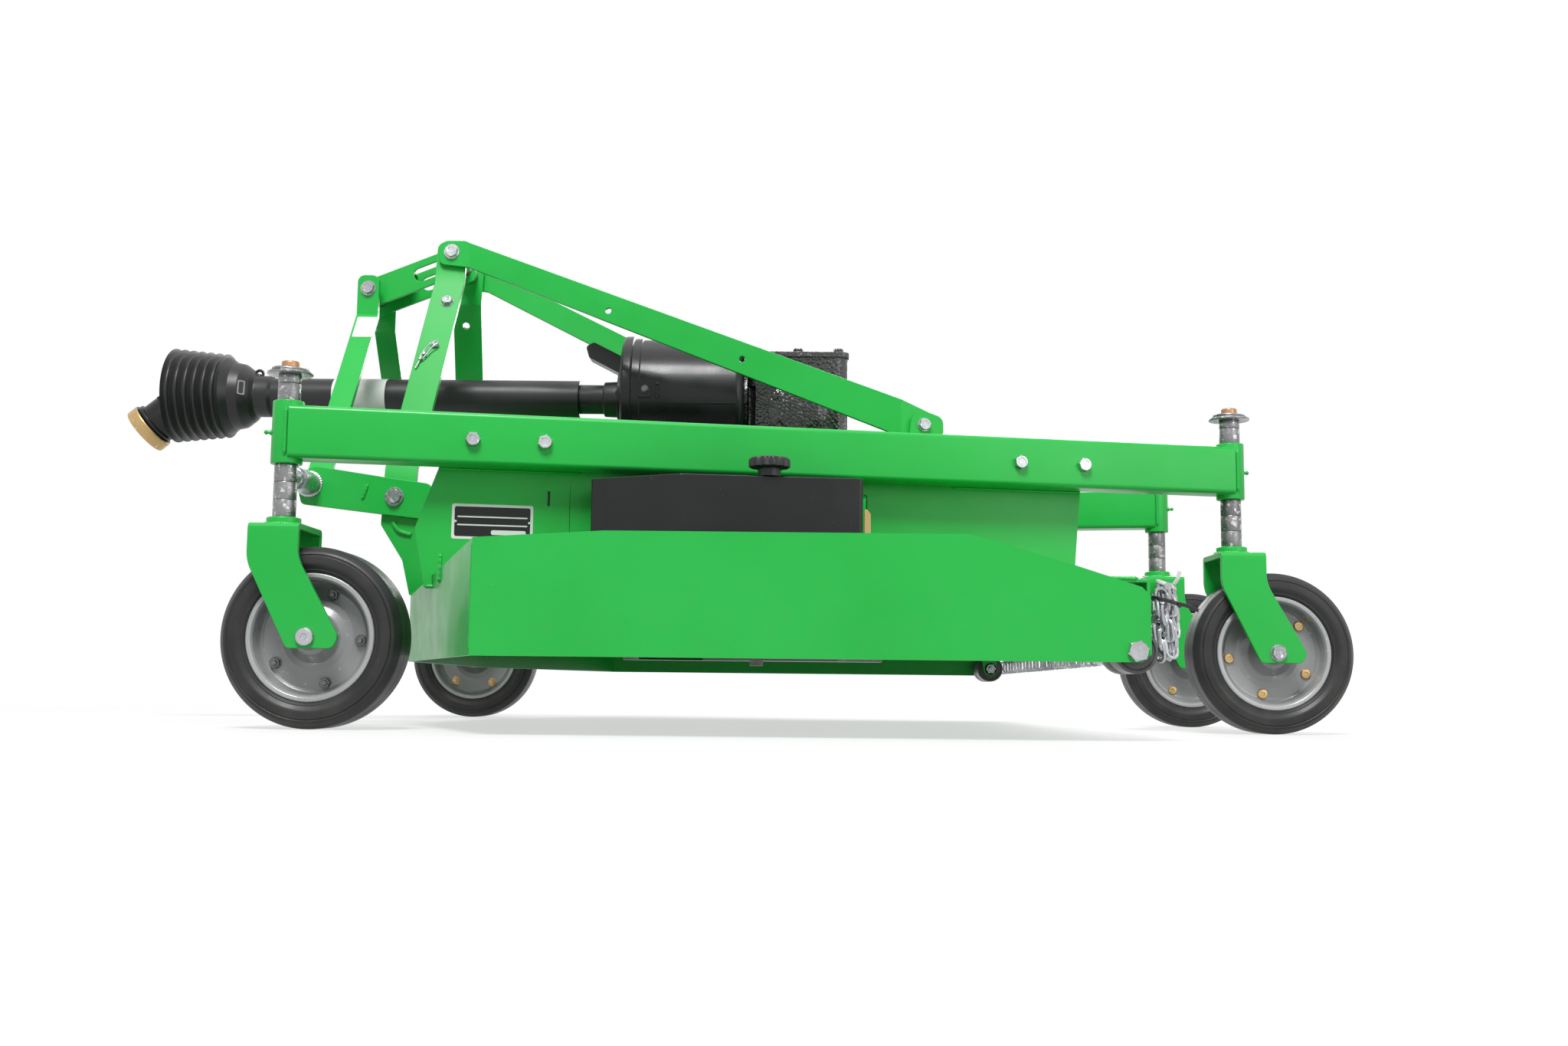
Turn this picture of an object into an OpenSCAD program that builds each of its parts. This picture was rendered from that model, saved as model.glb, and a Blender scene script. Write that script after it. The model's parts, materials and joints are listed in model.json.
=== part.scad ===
// Three-point finishing mower, rear discharge, parked on its four caster wheels.
// +X points forward to the tractor, +Y to the left of travel, +Z up from the floor.
// Side outlines are drawn as [x, z], plan outlines as [x, y]; x is counted from the front
// caster stems, and mower() moves all of it so that the origin is under the middle.

/* [Caster wheels] */
// Radius of the tyre
wheel_r = 127; // [115:1:135]
// Width of the tyre
tyre_w = 82; // [70:1:86]
// Radius of the rim flange
rim_r = 90; // [80:1:100]
// Distance between the front and the rear caster stems
caster_span = 1430; // [1400:1:1460]
// Distance between the two front caster stems
front_track = 1115; // [1080:1:1160]
// Distance between the two rear caster stems
rear_track = 512; // [470:1:560]
// Distance of the wheel's axle behind the stem
caster_trail = 54.5; // [45:0.5:65]
// Clear width between the legs of a fork
fork_gap = 94; // [91:1:110]
// Thickness of the fork's bent plate
fork_t = 8; // [6:1:10]
// Radius of the caster stem
stem_r = 12.7; // [11:0.1:14]
// Outer radius of the height spacers
spacer_r = 16; // [14.5:0.1:19]
// Height of one spacer ring
spacer_h = 25.4; // [20:0.1:28]
// Spacer rings between the fork and the frame
spacers_below = 3; // [2:1:4]

/* [Side beams] */
// Height of the beam's tube
beam_h = 76; // [60:1:90]
// Width of the beam's tube
beam_w = 51; // [40:1:60]
// Wall of the beam's tube
beam_wall = 5; // [3:0.5:8]
// Outer radius of the stem bushings
bushing_r = 22; // [19:0.5:25]
// Height of the stem bushings
bushing_h = 91; // [85:1:100]

/* [Deck] */
// Width over the side skirts
deck_w = 1574; // [1540:2:1620]
// Height of the skirt's lower edge over the floor
deck_bottom = 100; // [90:1:110]
// Height of the deck plate's upper face over the floor
deck_top_z = 205; // [195:1:215]
// Thickness of the deck's sheet
deck_t = 4; // [3:0.5:6]
// Width of the straight middle of the front wall
nose_w = 576; // [520:2:640]
// Distance of the front wall behind the front stems
nose_x = 118; // [110:1:130]
// Distance of the skirt's front bend behind the front stems
bend_x = 317; // [300:1:340]
// Distance of the deck's rear edge behind the front stems
deck_rear = 1177; // [1150:1:1200]
// Thickness of the side panels that carry the deck
panel_t = 6; // [4:0.5:10]

/* [Cutters] */
// Length of one blade
blade_len = 521; // [500:1:526]
// Width of a blade
blade_w = 64; // [50:1:76]
// Thickness of a blade
blade_t = 6; // [4:0.5:10]
// Distance of the outer spindles from the middle
spindle_y = 502; // [498:1:506]
// Distance of the outer spindles behind the front stems
spindle_x = 650; // [640:1:670]
// Distance of the middle spindle behind the front stems
mid_spindle_x = 440; // [425:1:450]
// Radius of the groove of the spindle pulleys
pulley_r = 58; // [50:1:62]
// Radius of the groove of the drive pulley
drive_r = 75; // [72:1:85]
// Height of the belt's middle over the floor
belt_z = 300; // [296:1:310]

/* [Hitch] */
// Distance between the middles of the lower hitch pins
pin_span = 683; // [670:1:700]
// Radius of the sleeve on a lower hitch pin
pin_sleeve_r = 18.25; // [16:0.25:19]
// Distance of the lower hitch pins ahead of the front stems
pin_x = 45; // [35:1:55]
// Height of the lower hitch pins over the floor
pin_z = 379; // [370:1:388]
// Height of the top link pin over the lower hitch pins
hitch_h = 382; // [370:1:390]
// Thickness of the hitch's flat bars
strap_t = 10; // [8:0.5:12]
// Width of the front frame's flat bars
leg_w = 38; // [34:1:44]
// Width of the mast's flat bars
mast_w = 52; // [46:1:56]
// Height of the mast's top bolt over the floor
mast_z = 822; // [815:1:830]
// Height of a brace's flat bar
brace_h = 40; // [34:1:46]
// Thickness of a brace's flat bar
brace_t = 8; // [6:0.5:10]
// Length of the slot in the top link, between its end centres
slot_len = 72; // [66:1:76]

/* [Driveline] */
// Height of the driveline's axis over the floor
drive_z = 577; // [570:1:585]
// Radius of the outer guard tube
tube_r = 33; // [31:0.5:36]
// Radius of the inner guard tube
inner_tube_r = 26; // [24:0.5:27]
// Radius of the bell at its mouth
bell_r = 84; // [80:1:90]
// Ribs on the bell
bell_ribs = 7; // [5:1:9]
// Angle by which the yoke hangs down from the axis
yoke_droop = 39.5; // [38:0.5:40]
// Radius of the yoke's locking collar
collar_r = 43; // [40:0.5:44]
// Radius of the splined bore in the yoke
spline_r = 17.5; // [15:0.5:20]
// Radius of the gearbox guard
guard_r = 107; // [100:1:112]

/* [Rear curtain and rollers] */
// Chain strands across the rear opening
chain_strands = 36; // [24:1:40]
// Radius of a corner roller
roller_r = 28; // [24:1:30]
// Length of a corner roller
roller_len = 96; // [80:1:120]

/* [Hidden] */
$fn = 48;
running_gap = 0.3;     // gap between a turning piece and what it turns on
weld_gap = 0.1;        // gap between two sheets that are welded together
belt_h = 8;            // depth of the belt
belt_w = 13;           // width of the belt
flange_h = 4;          // thickness of a pulley's flange

// Heights of the caster stems, counted up from the fork
fork_crown_z = 285;
fork_boss_h = 12;
bushing_z = fork_crown_z + fork_boss_h + spacers_below * spacer_h + running_gap;
upper_spacers = 1.5;
washer_r = 32;
washer_t = 4;
washer_z = bushing_z + bushing_h + running_gap + upper_spacers * spacer_h;
stem_top = washer_z + 20;
leg_y = fork_gap / 2 + fork_t / 2;
axle_r = 8;

// The beams run from bushing to bushing and come together to the rear
beam_z = bushing_z + (bushing_h - beam_h) / 2;
beam_angle = atan2((front_track - rear_track) / 2, caster_span);
beam_len = norm([caster_span, (front_track - rear_track) / 2]);
panel_v = beam_w / 2 + panel_t / 2;
lug_u = 952;
lug_z = beam_z + beam_h + 20;

// Deck outline
half_w = deck_w / 2;
nose_half = nose_w / 2;
skirt_top = deck_top_z + 55;
nose_turn = atan2(bend_x - nose_x, half_w - nose_half);

// Places of the hitch; the pivot bolt lies at the foot of the mast
pivot = [-91, pin_z - 19];
top_pin = [pin_x - 13, pin_z + hitch_h];
mast_bolt = [-119, mast_z];
arm_y = pin_span / 2 - 40;
bracket_y = arm_y - strap_t - 1;
mast_foot_y = bracket_y - strap_t;
leg_foot_y = arm_y - strap_t;
leg_top_y = 60;
mast_top_y = 75;
link_half = 34;
link_slope = atan2(mast_bolt[1] - top_pin[1], top_pin[0] - mast_bolt[0]);
link_len = norm(mast_bolt - top_pin);
bolt_r = 9.5;
slot_r = 12.5;

// Driveline along x
joint_x = 361;
bell_mouth = 398;
bell_back = 302;
dome_back = 249;
neck_back = 222;
tube_back = -340;
boot_x = -383;
guard_x = [-418, -438, -636];
yoke_len = 106;
collar_w = 22;

// Gearbox and its stand
box_x = [-642, -818];
box_half = 84;
box_z = [448, 640];
drive_x = (box_x[0] + box_x[1]) / 2;
stand_top = 440;
stand_y = 112;
snout_r = 58;

// The origin lies under the middle of the whole length
collar_round = 3;
front_reach = joint_x + (yoke_len - collar_round) * cos(yoke_droop)
    + (collar_r - collar_round) * sin(yoke_droop) + collar_round;
rear_reach = caster_span + caster_trail + wheel_r;
stem_x = (rear_reach - front_reach) / 2;

// Paint and metal colours
green = [0.24, 0.73, 0.33];
black = [0.1, 0.1, 0.11];
zinc = [0.72, 0.73, 0.75];
grey = [0.55, 0.56, 0.57];
rubber = [0.13, 0.13, 0.13];
gold = [0.8, 0.63, 0.3];

// Rounds the corner at q between its neighbours p and s, with an arc of radius r
function unit(v) = v / norm(v);
function corner(p, q, s, r, n) =
    r <= 0 ? [q] :
    let (u = unit(p - q), v = unit(s - q), half = acos(u * v) / 2,
         reach = min(r / tan(half), 0.48 * min(norm(p - q), norm(s - q))),
         rr = reach * tan(half), c = q + unit(u + v) * rr / sin(half))
    [for (i = [0:n]) c + rr * unit((q + u * reach - c) * (n - i) + (q + v * reach - c) * i)];

// Outline from a table of rows [x, y, corner radius]
function outline(rows, n = 5) =
    let (m = len(rows), at = function (i) let (row = rows[(i + m) % m]) [row[0], row[1]])
    [for (i = [0:m - 1]) each corner(at(i - 1), at(i), at(i + 1), rows[i][2], n)];

// Flat bar of thickness t bent along a path, seen on its edge; side -1 lays it to the right of the path
function turn(v) = [-v[1], v[0]];
function bar_normal(path, i) =
    let (a = i > 0 ? turn(unit(path[i] - path[i - 1])) : turn(unit(path[1] - path[0])),
         b = i < len(path) - 1 ? turn(unit(path[i + 1] - path[i])) : a, m = unit(a + b))
    m / (m * b);
function bar(path, t, side = 0) = concat(
    [for (i = [0:len(path) - 1]) path[i] + bar_normal(path, i) * t * (1 + side) / 2],
    [for (i = [len(path) - 1:-1:0]) path[i] - bar_normal(path, i) * t * (1 - side) / 2]);

// Band of a circle's arc from angle a to angle b
function arc(c, r, a, b, n) = [for (i = [0:n]) c + r * [cos(a + (b - a) * i / n), sin(a + (b - a) * i / n)]];

// Loop pulled tight round circles [x, y, r] that are listed counterclockwise
function wrap_angle(p, q) =
    let (d = [q[0] - p[0], q[1] - p[1]]) atan2(d[1], d[0]) - 90 + asin((p[2] - q[2]) / norm(d));
function tight_loop(circles, grow) =
    let (m = len(circles))
    [for (i = [0:m - 1])
        let (now = circles[i], before = circles[(i + m - 1) % m], after = circles[(i + 1) % m],
             a = wrap_angle(before, now), b = wrap_angle(now, after), sweep = (b - a + 720) % 360)
        each arc([now[0], now[1]], now[2] + grow, a, a + sweep, 24)];

// Distance from the middle at which a beam's axis lies, x behind or ahead of the front stems
function beam_y(x) = front_track / 2 + x * tan(beam_angle);

module mower() { translate([stem_x, 0, 0]) children(); }
module mirrored(side) { if (side > 0) children(); else mirror([0, 1, 0]) children(); }

// Plate with its outline in the x-z plane, its middle at distance y
module side_plate(y, t) { translate([0, y + t / 2, 0]) rotate([90, 0, 0]) linear_extrude(t) children(); }
module across(y) { translate([0, y, 0]) rotate([90, 0, 0]) children(); }
module along_x() { rotate([0, 90, 0]) children(); }

// Beam's own directions: u along the beam to the rear, v inward, z up
module beam_frame() {
    translate([0, front_track / 2, 0]) rotate([0, 0, 180 + beam_angle]) children();
}
module beam_plate(v, t) { beam_frame() translate([0, v + t / 2, 0]) rotate([90, 0, 0]) linear_extrude(t) children(); }

// Deck

// Plan of the deck, drawn in by a distance from the outer faces of its walls
function deck_outline(inset) =
    let (nose = [-nose_x - inset, nose_half - inset * tan(nose_turn / 2)],
         bend = [-bend_x - inset * tan(45 - nose_turn / 2), half_w - inset])
    [nose, bend, [-deck_rear, bend[1]], [-deck_rear, -bend[1]], [bend[0], -bend[1]], [nose[0], -nose[1]]];

function spindle_places() = [[-spindle_x, spindle_y], [-mid_spindle_x, 0], [-spindle_x, -spindle_y]];

module deck_top() {
    lip_h = 22;
    hole_r = 46;
    color(green) mower() {
        difference() {
            translate([0, 0, deck_top_z - deck_t]) linear_extrude(deck_t)
                polygon(deck_outline(deck_t + weld_gap));
            for (p = spindle_places()) translate([p[0], p[1], 0]) cylinder(r = hole_r, h = deck_top_z + 1);
        }
        translate([-deck_rear, deck_t + weld_gap - half_w, deck_top_z - lip_h])
            cube([deck_t, deck_w - 2 * (deck_t + weld_gap), lip_h - deck_t / 2]);
    }
}

// Sheet of the front wall, mitred to the skirts; its upper edge rises from the brackets to the skirts
module wall_sheet(grow = 0) {
    outer = deck_outline(-grow);
    inner = deck_outline(deck_t + grow);
    rise = skirt_top - 10 + grow;
    low = deck_top_z + grow;
    level_y = bracket_y + strap_t / 2 + weld_gap;
    intersection() {
        linear_extrude(skirt_top + 1) polygon([outer[1], outer[0], outer[5], outer[4],
            inner[4], inner[5], inner[0], inner[1]]);
        translate([-2 * bend_x, 0, 0]) rotate([90, 0, 90]) linear_extrude(2 * bend_x)
            polygon([[half_w + grow, deck_bottom], [half_w + grow, rise], [level_y, low], [-level_y, low],
                [-half_w - grow, rise], [-half_w - grow, deck_bottom]]);
    }
}
module front_wall() { color(green) mower() wall_sheet(); }

// Rows of the skirt's upper edge and corners, x counted back from the front stems
module skirt(side) {
    rows = [[-bend_x, deck_bottom, 0], [-bend_x, skirt_top - 10, 0], [-484, skirt_top, 30],
        [-950, skirt_top, 60], [-1084, deck_top_z + 16, 0], [-1166, deck_top_z - 10, 0],
        [-deck_rear, deck_top_z - 21, 0], [-deck_rear, deck_bottom + 10, 0],
        [-deck_rear + 12, deck_bottom, 0]];
    hanger_y = half_w - deck_t - roller_len - 10;
    hanger_x = -deck_rear + deck_t + weld_gap;
    inner = deck_outline(deck_t);
    head_h = 7;
    color(green) mower() mirrored(side) {
        intersection() {
            side_plate(half_w - deck_t / 2, deck_t) polygon(outline(rows));
            linear_extrude(skirt_top + 1) polygon([[-bend_x - weld_gap, half_w], [inner[1][0] - weld_gap, inner[1][1]],
                inner[2], [-deck_rear, half_w]]);
        }
        side_plate(hanger_y - deck_t / 2, deck_t) polygon(outline([
            [hanger_x, roller_z - 14, 12], [roller_x + 14, roller_z - 14, 12],
            [roller_x + 30, deck_top_z - deck_t, 0], [hanger_x, deck_top_z - deck_t, 0]]));
    }
    color(zinc) mower() mirrored(side) translate([roller_x, 0, roller_z]) {
        across(half_w) cylinder(r = axle_r, h = half_w - hanger_y + 2 * deck_t);
        across(half_w + head_h) cylinder(r = 12, h = head_h, $fn = 6);
    }
}

// The panel stands on the deck plate and the front wall, passes behind the beam and is notched for the belt cover
module side_panel(side) {
    top = beam_z + beam_h - 12;
    notch = [405, 862];
    notch_top = cover_top + 4;
    rows = [[196, deck_top_z, 0], [180, deck_top_z + 85, 4], [212, beam_z, 8], [212, top, 4],
        [1214, top, 4], [1214, beam_z, 4], [1200, deck_top_z, 0], [notch[1], deck_top_z, 0],
        [notch[1], notch_top, 4], [notch[0], notch_top, 4], [notch[0], deck_top_z, 0]];
    slot_h = 22;
    color(green) mower() mirrored(side) difference() {
        beam_plate(panel_v, panel_t) polygon(outline(rows));
        beam_frame() translate([372, panel_v - panel_t, 330]) cube([3, 2 * panel_t, slot_h]);
        wall_sheet(weld_gap);
    }
}

// Beams with their bushings

module beam(side) {
    color(green) mower() mirrored(side) beam_frame() {
        difference() {
            translate([0, -beam_w / 2, beam_z]) cube([beam_len, beam_w, beam_h]);
            translate([-1, -beam_w / 2 + beam_wall, beam_z + beam_wall])
                cube([beam_len + 2, beam_w - 2 * beam_wall, beam_h - 2 * beam_wall]);
            for (u = [0, beam_len]) translate([u, 0, bushing_z]) {
                cylinder(r = bushing_r - 1, h = bushing_h);
                translate([u > 0 ? 0 : -2 * bushing_r, -beam_w, 0])
                    cube([2 * bushing_r, 2 * beam_w, bushing_h]);
            }
        }
        for (u = [0, beam_len]) translate([u, 0, bushing_z]) difference() {
            cylinder(r = bushing_r, h = bushing_h);
            translate([0, 0, -1]) cylinder(r = stem_r + running_gap, h = bushing_h + 2);
        }
        translate([0, beam_w / 2 - brace_t / 2, 0]) rotate([90, 0, 0])
            translate([lug_u, 0, -brace_t / 2]) linear_extrude(brace_t) difference() {
                polygon(outline([[-24, beam_z + beam_h, 0], [-20, lug_z + 20, 18],
                    [20, lug_z + 20, 18], [24, beam_z + beam_h, 0]]));
                translate([0, lug_z]) circle(r = 6.5);
            }
    }
}

// Hitch brackets on the deck's nose

module hitch_bracket(side) {
    rows = [[-70, pivot[1] + 18, 10], [-68, 316, 8], [-104, 260, 10], [-117, deck_top_z, 0],
        [-153, deck_top_z, 0], [-153, pivot[1] + 18, 12]];
    head_h = 9;
    outer = arm_y + strap_t / 2 + running_gap;
    inner = mast_foot_y - strap_t / 2;
    color(green) mower() mirrored(side) side_plate(bracket_y, strap_t) polygon(outline(rows));
    color(zinc) mower() mirrored(side) translate([pivot[0], 0, pivot[1]]) {
        across(outer) cylinder(r = bolt_r, h = outer - inner);
        across(outer + head_h) cylinder(r = 15, h = head_h);
        across(inner) cylinder(r = 15, h = head_h);
    }
}

// Mast bar: bent in the y-z plane, leaning back in the side view
module mast(side) {
    edge = [[mast_foot_y, pivot[1] - 24], [mast_foot_y, 408], [mast_top_y, 768], [mast_top_y, mast_z + 30]];
    half = mast_w / 2;
    rows = [[pivot[0] - half, pivot[1] - 22, 14], [mast_bolt[0] - half, mast_z + 20, 14],
        [mast_bolt[0] + half, mast_z + 20, 14], [pivot[0] + half, pivot[1] - 22, 14]];
    color(green) mower() mirrored(side) difference() {
        intersection() {
            translate([-200, 0, 0]) rotate([90, 0, 90]) linear_extrude(200) polygon(bar(edge, strap_t));
            translate([0, 400, 0]) across(0) linear_extrude(400) polygon(outline(rows));
        }
        translate([mast_bolt[0], mast_top_y + strap_t, mast_z]) across(0) cylinder(r = bolt_r + running_gap, h = 2 * strap_t);
        translate([pivot[0], mast_foot_y + strap_t, pivot[1]]) across(0) cylinder(r = bolt_r + running_gap, h = 2 * strap_t);
    }
}

// Bolt through the mast with a spacer tube each side of the top link
module mast_bolt_set() {
    reach = mast_top_y + strap_t / 2 + brace_t;
    head_h = 8;
    color(zinc) mower() translate([mast_bolt[0], 0, mast_z]) {
        across(reach) cylinder(r = bolt_r, h = 2 * reach);
        for (s = [-1, 1]) across(s > 0 ? reach + head_h : -reach) cylinder(r = 14, h = head_h);
        for (s = [-1, 1]) across(s > 0 ? mast_top_y - strap_t / 2 : -link_half - 6)
            cylinder(r = 15, h = mast_top_y - strap_t / 2 - link_half - 6);
    }
}

// Brace from the mast's top back to the lug on the beam
module brace(side) {
    v = (beam_w / 2 + brace_t / 2) / cos(beam_angle);
    top_y = mast_top_y + strap_t / 2 + brace_t / 2;
    end_x = -lug_u * cos(beam_angle) - (beam_w / 2 + brace_t / 2) * sin(beam_angle);
    plan = [[-92, top_y], [-152, top_y], [end_x + 45, beam_y(end_x + 45) - v], [end_x - 26, beam_y(end_x - 26) - v]];
    rows = [[-96, mast_z - 22, 12], [-98, mast_z + 20, 16], [-142, mast_z + 20, 16],
        [end_x, lug_z + brace_h / 2 + 1, 10], [end_x - 22, lug_z + brace_h / 2 - 6, 14],
        [end_x - 22, lug_z - brace_h / 2 + 2, 14], [end_x, lug_z - brace_h / 2 + 2, 0],
        [end_x + 48, lug_z - brace_h / 2 + 2, 0], [-150, mast_z - 28, 20]];
    color(green) mower() mirrored(side) difference() {
        intersection() {
            linear_extrude(mast_z + 50) polygon(bar(plan, brace_t));
            translate([0, half_w, 0]) across(0) linear_extrude(half_w) polygon(outline(rows));
        }
        translate([mast_bolt[0], top_y + brace_t, mast_z]) across(0) cylinder(r = bolt_r + running_gap, h = 2 * brace_t);
        translate([end_x, half_w, lug_z]) across(0) cylinder(r = 6.5, h = half_w);
        for (x = [-408, -638]) translate([x, half_w, mast_z - 22 - (mast_bolt[0] - x) * 0.427 + 20])
            across(0) cylinder(r = 5, h = half_w);
    }
}

// Hitch frame: arm, front leg and lower pin on each side

module hitch_arm(side) {
    rows = [[pin_x + 12, pin_z - 32, 8], [-70, pin_z - 47, 20], [-152, pin_z - 56, 10],
        [-150, pin_z + 2, 12], [-90, pin_z + 10, 30], [pin_x - 8, pin_z + 29, 14],
        [pin_x + 24, pin_z + 14, 14]];
    lower = pin_z - 22;
    edge = [[leg_foot_y, lower], [leg_foot_y, pin_z + 24], [leg_top_y, 712], [leg_top_y, top_pin[1] + 40]];
    leg = [[top_pin[0] - leg_w / 2, lower, 0], [top_pin[0] - leg_w / 2, top_pin[1] + 24, 12],
        [top_pin[0] + leg_w / 2, top_pin[1] + 24, 12], [top_pin[0] + leg_w / 2, lower, 0]];
    color(green) mower() mirrored(side) difference() {
        union() {
            side_plate(arm_y, strap_t) polygon(outline(rows));
            intersection() {
                translate([-100, 0, 0]) rotate([90, 0, 90]) linear_extrude(200) polygon(bar(edge, strap_t));
                translate([0, 400, 0]) across(0) linear_extrude(400) polygon(outline(leg));
            }
        }
        translate([pivot[0], arm_y + strap_t, pivot[1]]) across(0) cylinder(r = bolt_r + running_gap, h = 2 * strap_t);
        translate([top_pin[0], leg_top_y + strap_t, top_pin[1]]) across(0) cylinder(r = bolt_r + running_gap, h = 2 * strap_t);
    }
}

// Lower pin with its sleeve, welded to the arm's outer face
module hitch_pin(side) {
    face = arm_y + strap_t / 2;
    sleeve_len = 58;
    pin_r = 11;
    color(zinc) mower() mirrored(side) translate([pin_x, 0, pin_z]) {
        across(face + 6) cylinder(r = pin_sleeve_r + 4, h = 6);
        across(face + 6 + sleeve_len) cylinder(r = pin_sleeve_r, h = sleeve_len);
        difference() {
            across(face + sleeve_len + 30) cylinder(r = pin_r, h = 26);
            translate([0, face + sleeve_len + 18, -pin_r - 1]) cylinder(r = 5.5, h = 2 * pin_r + 2);
        }
    }
}

module top_link_pin() {
    reach = leg_top_y + strap_t / 2;
    head_h = 8;
    color(zinc) mower() translate([top_pin[0], 0, top_pin[1]]) {
        across(reach) cylinder(r = bolt_r, h = 2 * reach);
        for (s = [-1, 1]) across(s > 0 ? reach + head_h : -reach) cylinder(r = 14, h = head_h);
    }
}

// Channel between the front frame and the mast, slotted where the mast bolt slides
module top_link() {
    h = 25;
    wall = 6;
    tail = 16;
    rows = [[-22, -h, 14], [-22, h, 14], [link_len + tail, h, 14], [link_len + tail, -h, 14]];
    color(green) mower() translate([top_pin[0], 0, top_pin[1]]) rotate([0, link_slope, 0])
        mirror([1, 0, 0]) difference() {
            union() {
                for (s = [-1, 1]) side_plate(s * (link_half - wall / 2), wall) polygon(outline(rows));
                translate([6, -link_half, h - wall]) cube([link_len - slot_len - 20, 2 * link_half, wall]);
            }
            across(link_half + 1) cylinder(r = bolt_r + running_gap, h = 2 * link_half + 2);
            across(link_half + 1) linear_extrude(2 * link_half + 2)
                polygon(concat(arc([link_len, 0], slot_r, -90, 90, 8),
                    arc([link_len - slot_len, 0], slot_r, 90, 270, 8)));
        }
}

// Gearbox, stand and guard

module gearbox() {
    w = box_x[0] - box_x[1];
    color(black) mower() {
        difference() {
            translate([drive_x, 0, box_z[0]]) linear_extrude(box_z[1] - box_z[0])
                polygon(outline([[-w / 2, -box_half, 22], [w / 2, -box_half, 22],
                    [w / 2, box_half, 22], [-w / 2, box_half, 22]]));
            for (s = [-1, 1], x = [-1, 1]) translate([drive_x + x * w / 2, s * box_half, box_z[0] + 40])
                cylinder(r = 14, h = 100);
        }
        translate([drive_x, 0, box_z[1]]) linear_extrude(10)
            polygon(outline([[-w / 2 - 2, -box_half - 2, 16], [w / 2 + 2, -box_half - 2, 16],
                [w / 2 + 2, box_half + 2, 16], [-w / 2 - 2, box_half + 2, 16]]));
        for (x = [-0.4, 0, 0.4], s = [-1, 1]) translate([drive_x + x * w, s * (box_half - 10), box_z[1] + 10])
            cylinder(r = 7, h = 6, $fn = 6);
        translate([box_x[0] - 4, 0, drive_z]) along_x() cylinder(r = snout_r, h = 40);
        translate([box_x[0], 0, drive_z]) along_x() cylinder(r = spline_r, h = boot_x - box_x[0] - 8);
        translate([drive_x, 0, stand_top]) cylinder(r = 92, h = box_z[0] - stand_top);
        translate([drive_x, 0, belt_z - 20]) cylinder(r = 16, h = stand_top - belt_z + 20);
        drive_pulley();
    }
}

module pulley(r) {
    for (s = [-1, 1]) translate([0, 0, s * (belt_w / 2 + flange_h / 2 + 1) - flange_h / 2])
        cylinder(r = r + belt_h + 3, h = flange_h);
    cylinder(r = r, h = belt_w + 2, center = true);
}
module drive_pulley() { translate([drive_x, 0, belt_z]) pulley(drive_r); }

// Portal that carries the gearbox over the belt
module gearbox_stand() {
    plate_t = 8;
    x = [box_x[1] - 12, box_x[0] + 12];
    window = [belt_z - 24, belt_z + 24];
    sides = [[x[0] - 20, deck_top_z, 0], [x[1] + 20, deck_top_z, 0], [x[1], stand_top, 10], [x[0], stand_top, 10]];
    color(green) mower() {
        difference() {
            translate([x[0], -stand_y, stand_top - plate_t]) cube([x[1] - x[0], 2 * stand_y, plate_t]);
            translate([drive_x, 0, 0]) cylinder(r = 30, h = stand_top + 1);
        }
        for (s = [-1, 1]) difference() {
            side_plate(s * (stand_y - plate_t / 2), plate_t) polygon(outline(sides));
            translate([x[0] + 14, s * stand_y - plate_t, window[0]])
                cube([x[1] - x[0] - 28, 2 * plate_t, window[1] - window[0]]);
        }
    }
}

// Round guard over the input shaft, with its flanged mouth and tab
module gearbox_guard() {
    wall = 4;
    mouth_r = 46;
    color(black) mower() {
        translate([0, 0, drive_z]) along_x() rotate_extrude() polygon([
            [mouth_r, guard_x[0] + 8], [mouth_r + wall, guard_x[0] + 8], [mouth_r + wall, guard_x[0]],
            [guard_r + 2, guard_x[0] - 4],
            [guard_r + 6, guard_x[0] - 8], [guard_r + 6, guard_x[1] - 2], [guard_r, guard_x[1] - 4],
            [guard_r - 4, guard_x[2]], [snout_r + running_gap, guard_x[2]],
            [snout_r + running_gap, guard_x[2] + wall], [guard_r - 4 - wall, guard_x[2] + wall],
            [guard_r - wall, guard_x[1]], [guard_r - wall, guard_x[1] + 8], [mouth_r, guard_x[0] - 6]]);
        side_plate(0, 40) polygon([[-422, 616], [-356, 650], [-350, 670], [-364, 678], [-424, 648]]);
    }
}

// Driveline: inner tube on the gearbox side, outer tube, bell and yoke on the tractor side

module driveline_inner() {
    inside = 120;
    color(black) mower() translate([0, 0, drive_z]) along_x() {
        difference() {
            rotate_extrude() polygon(outline([[0, boot_x - 50, 0], [inner_tube_r + 14, boot_x - 50, 0],
                [inner_tube_r + 5, boot_x - 24, 3], [inner_tube_r + 5, boot_x, 1],
                [inner_tube_r, boot_x, 0], [inner_tube_r, -inside, 0], [0, -inside, 0]]));
            translate([0, 0, boot_x - 60]) cylinder(r = spline_r + running_gap, h = 60);
        }
    }
}

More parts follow.
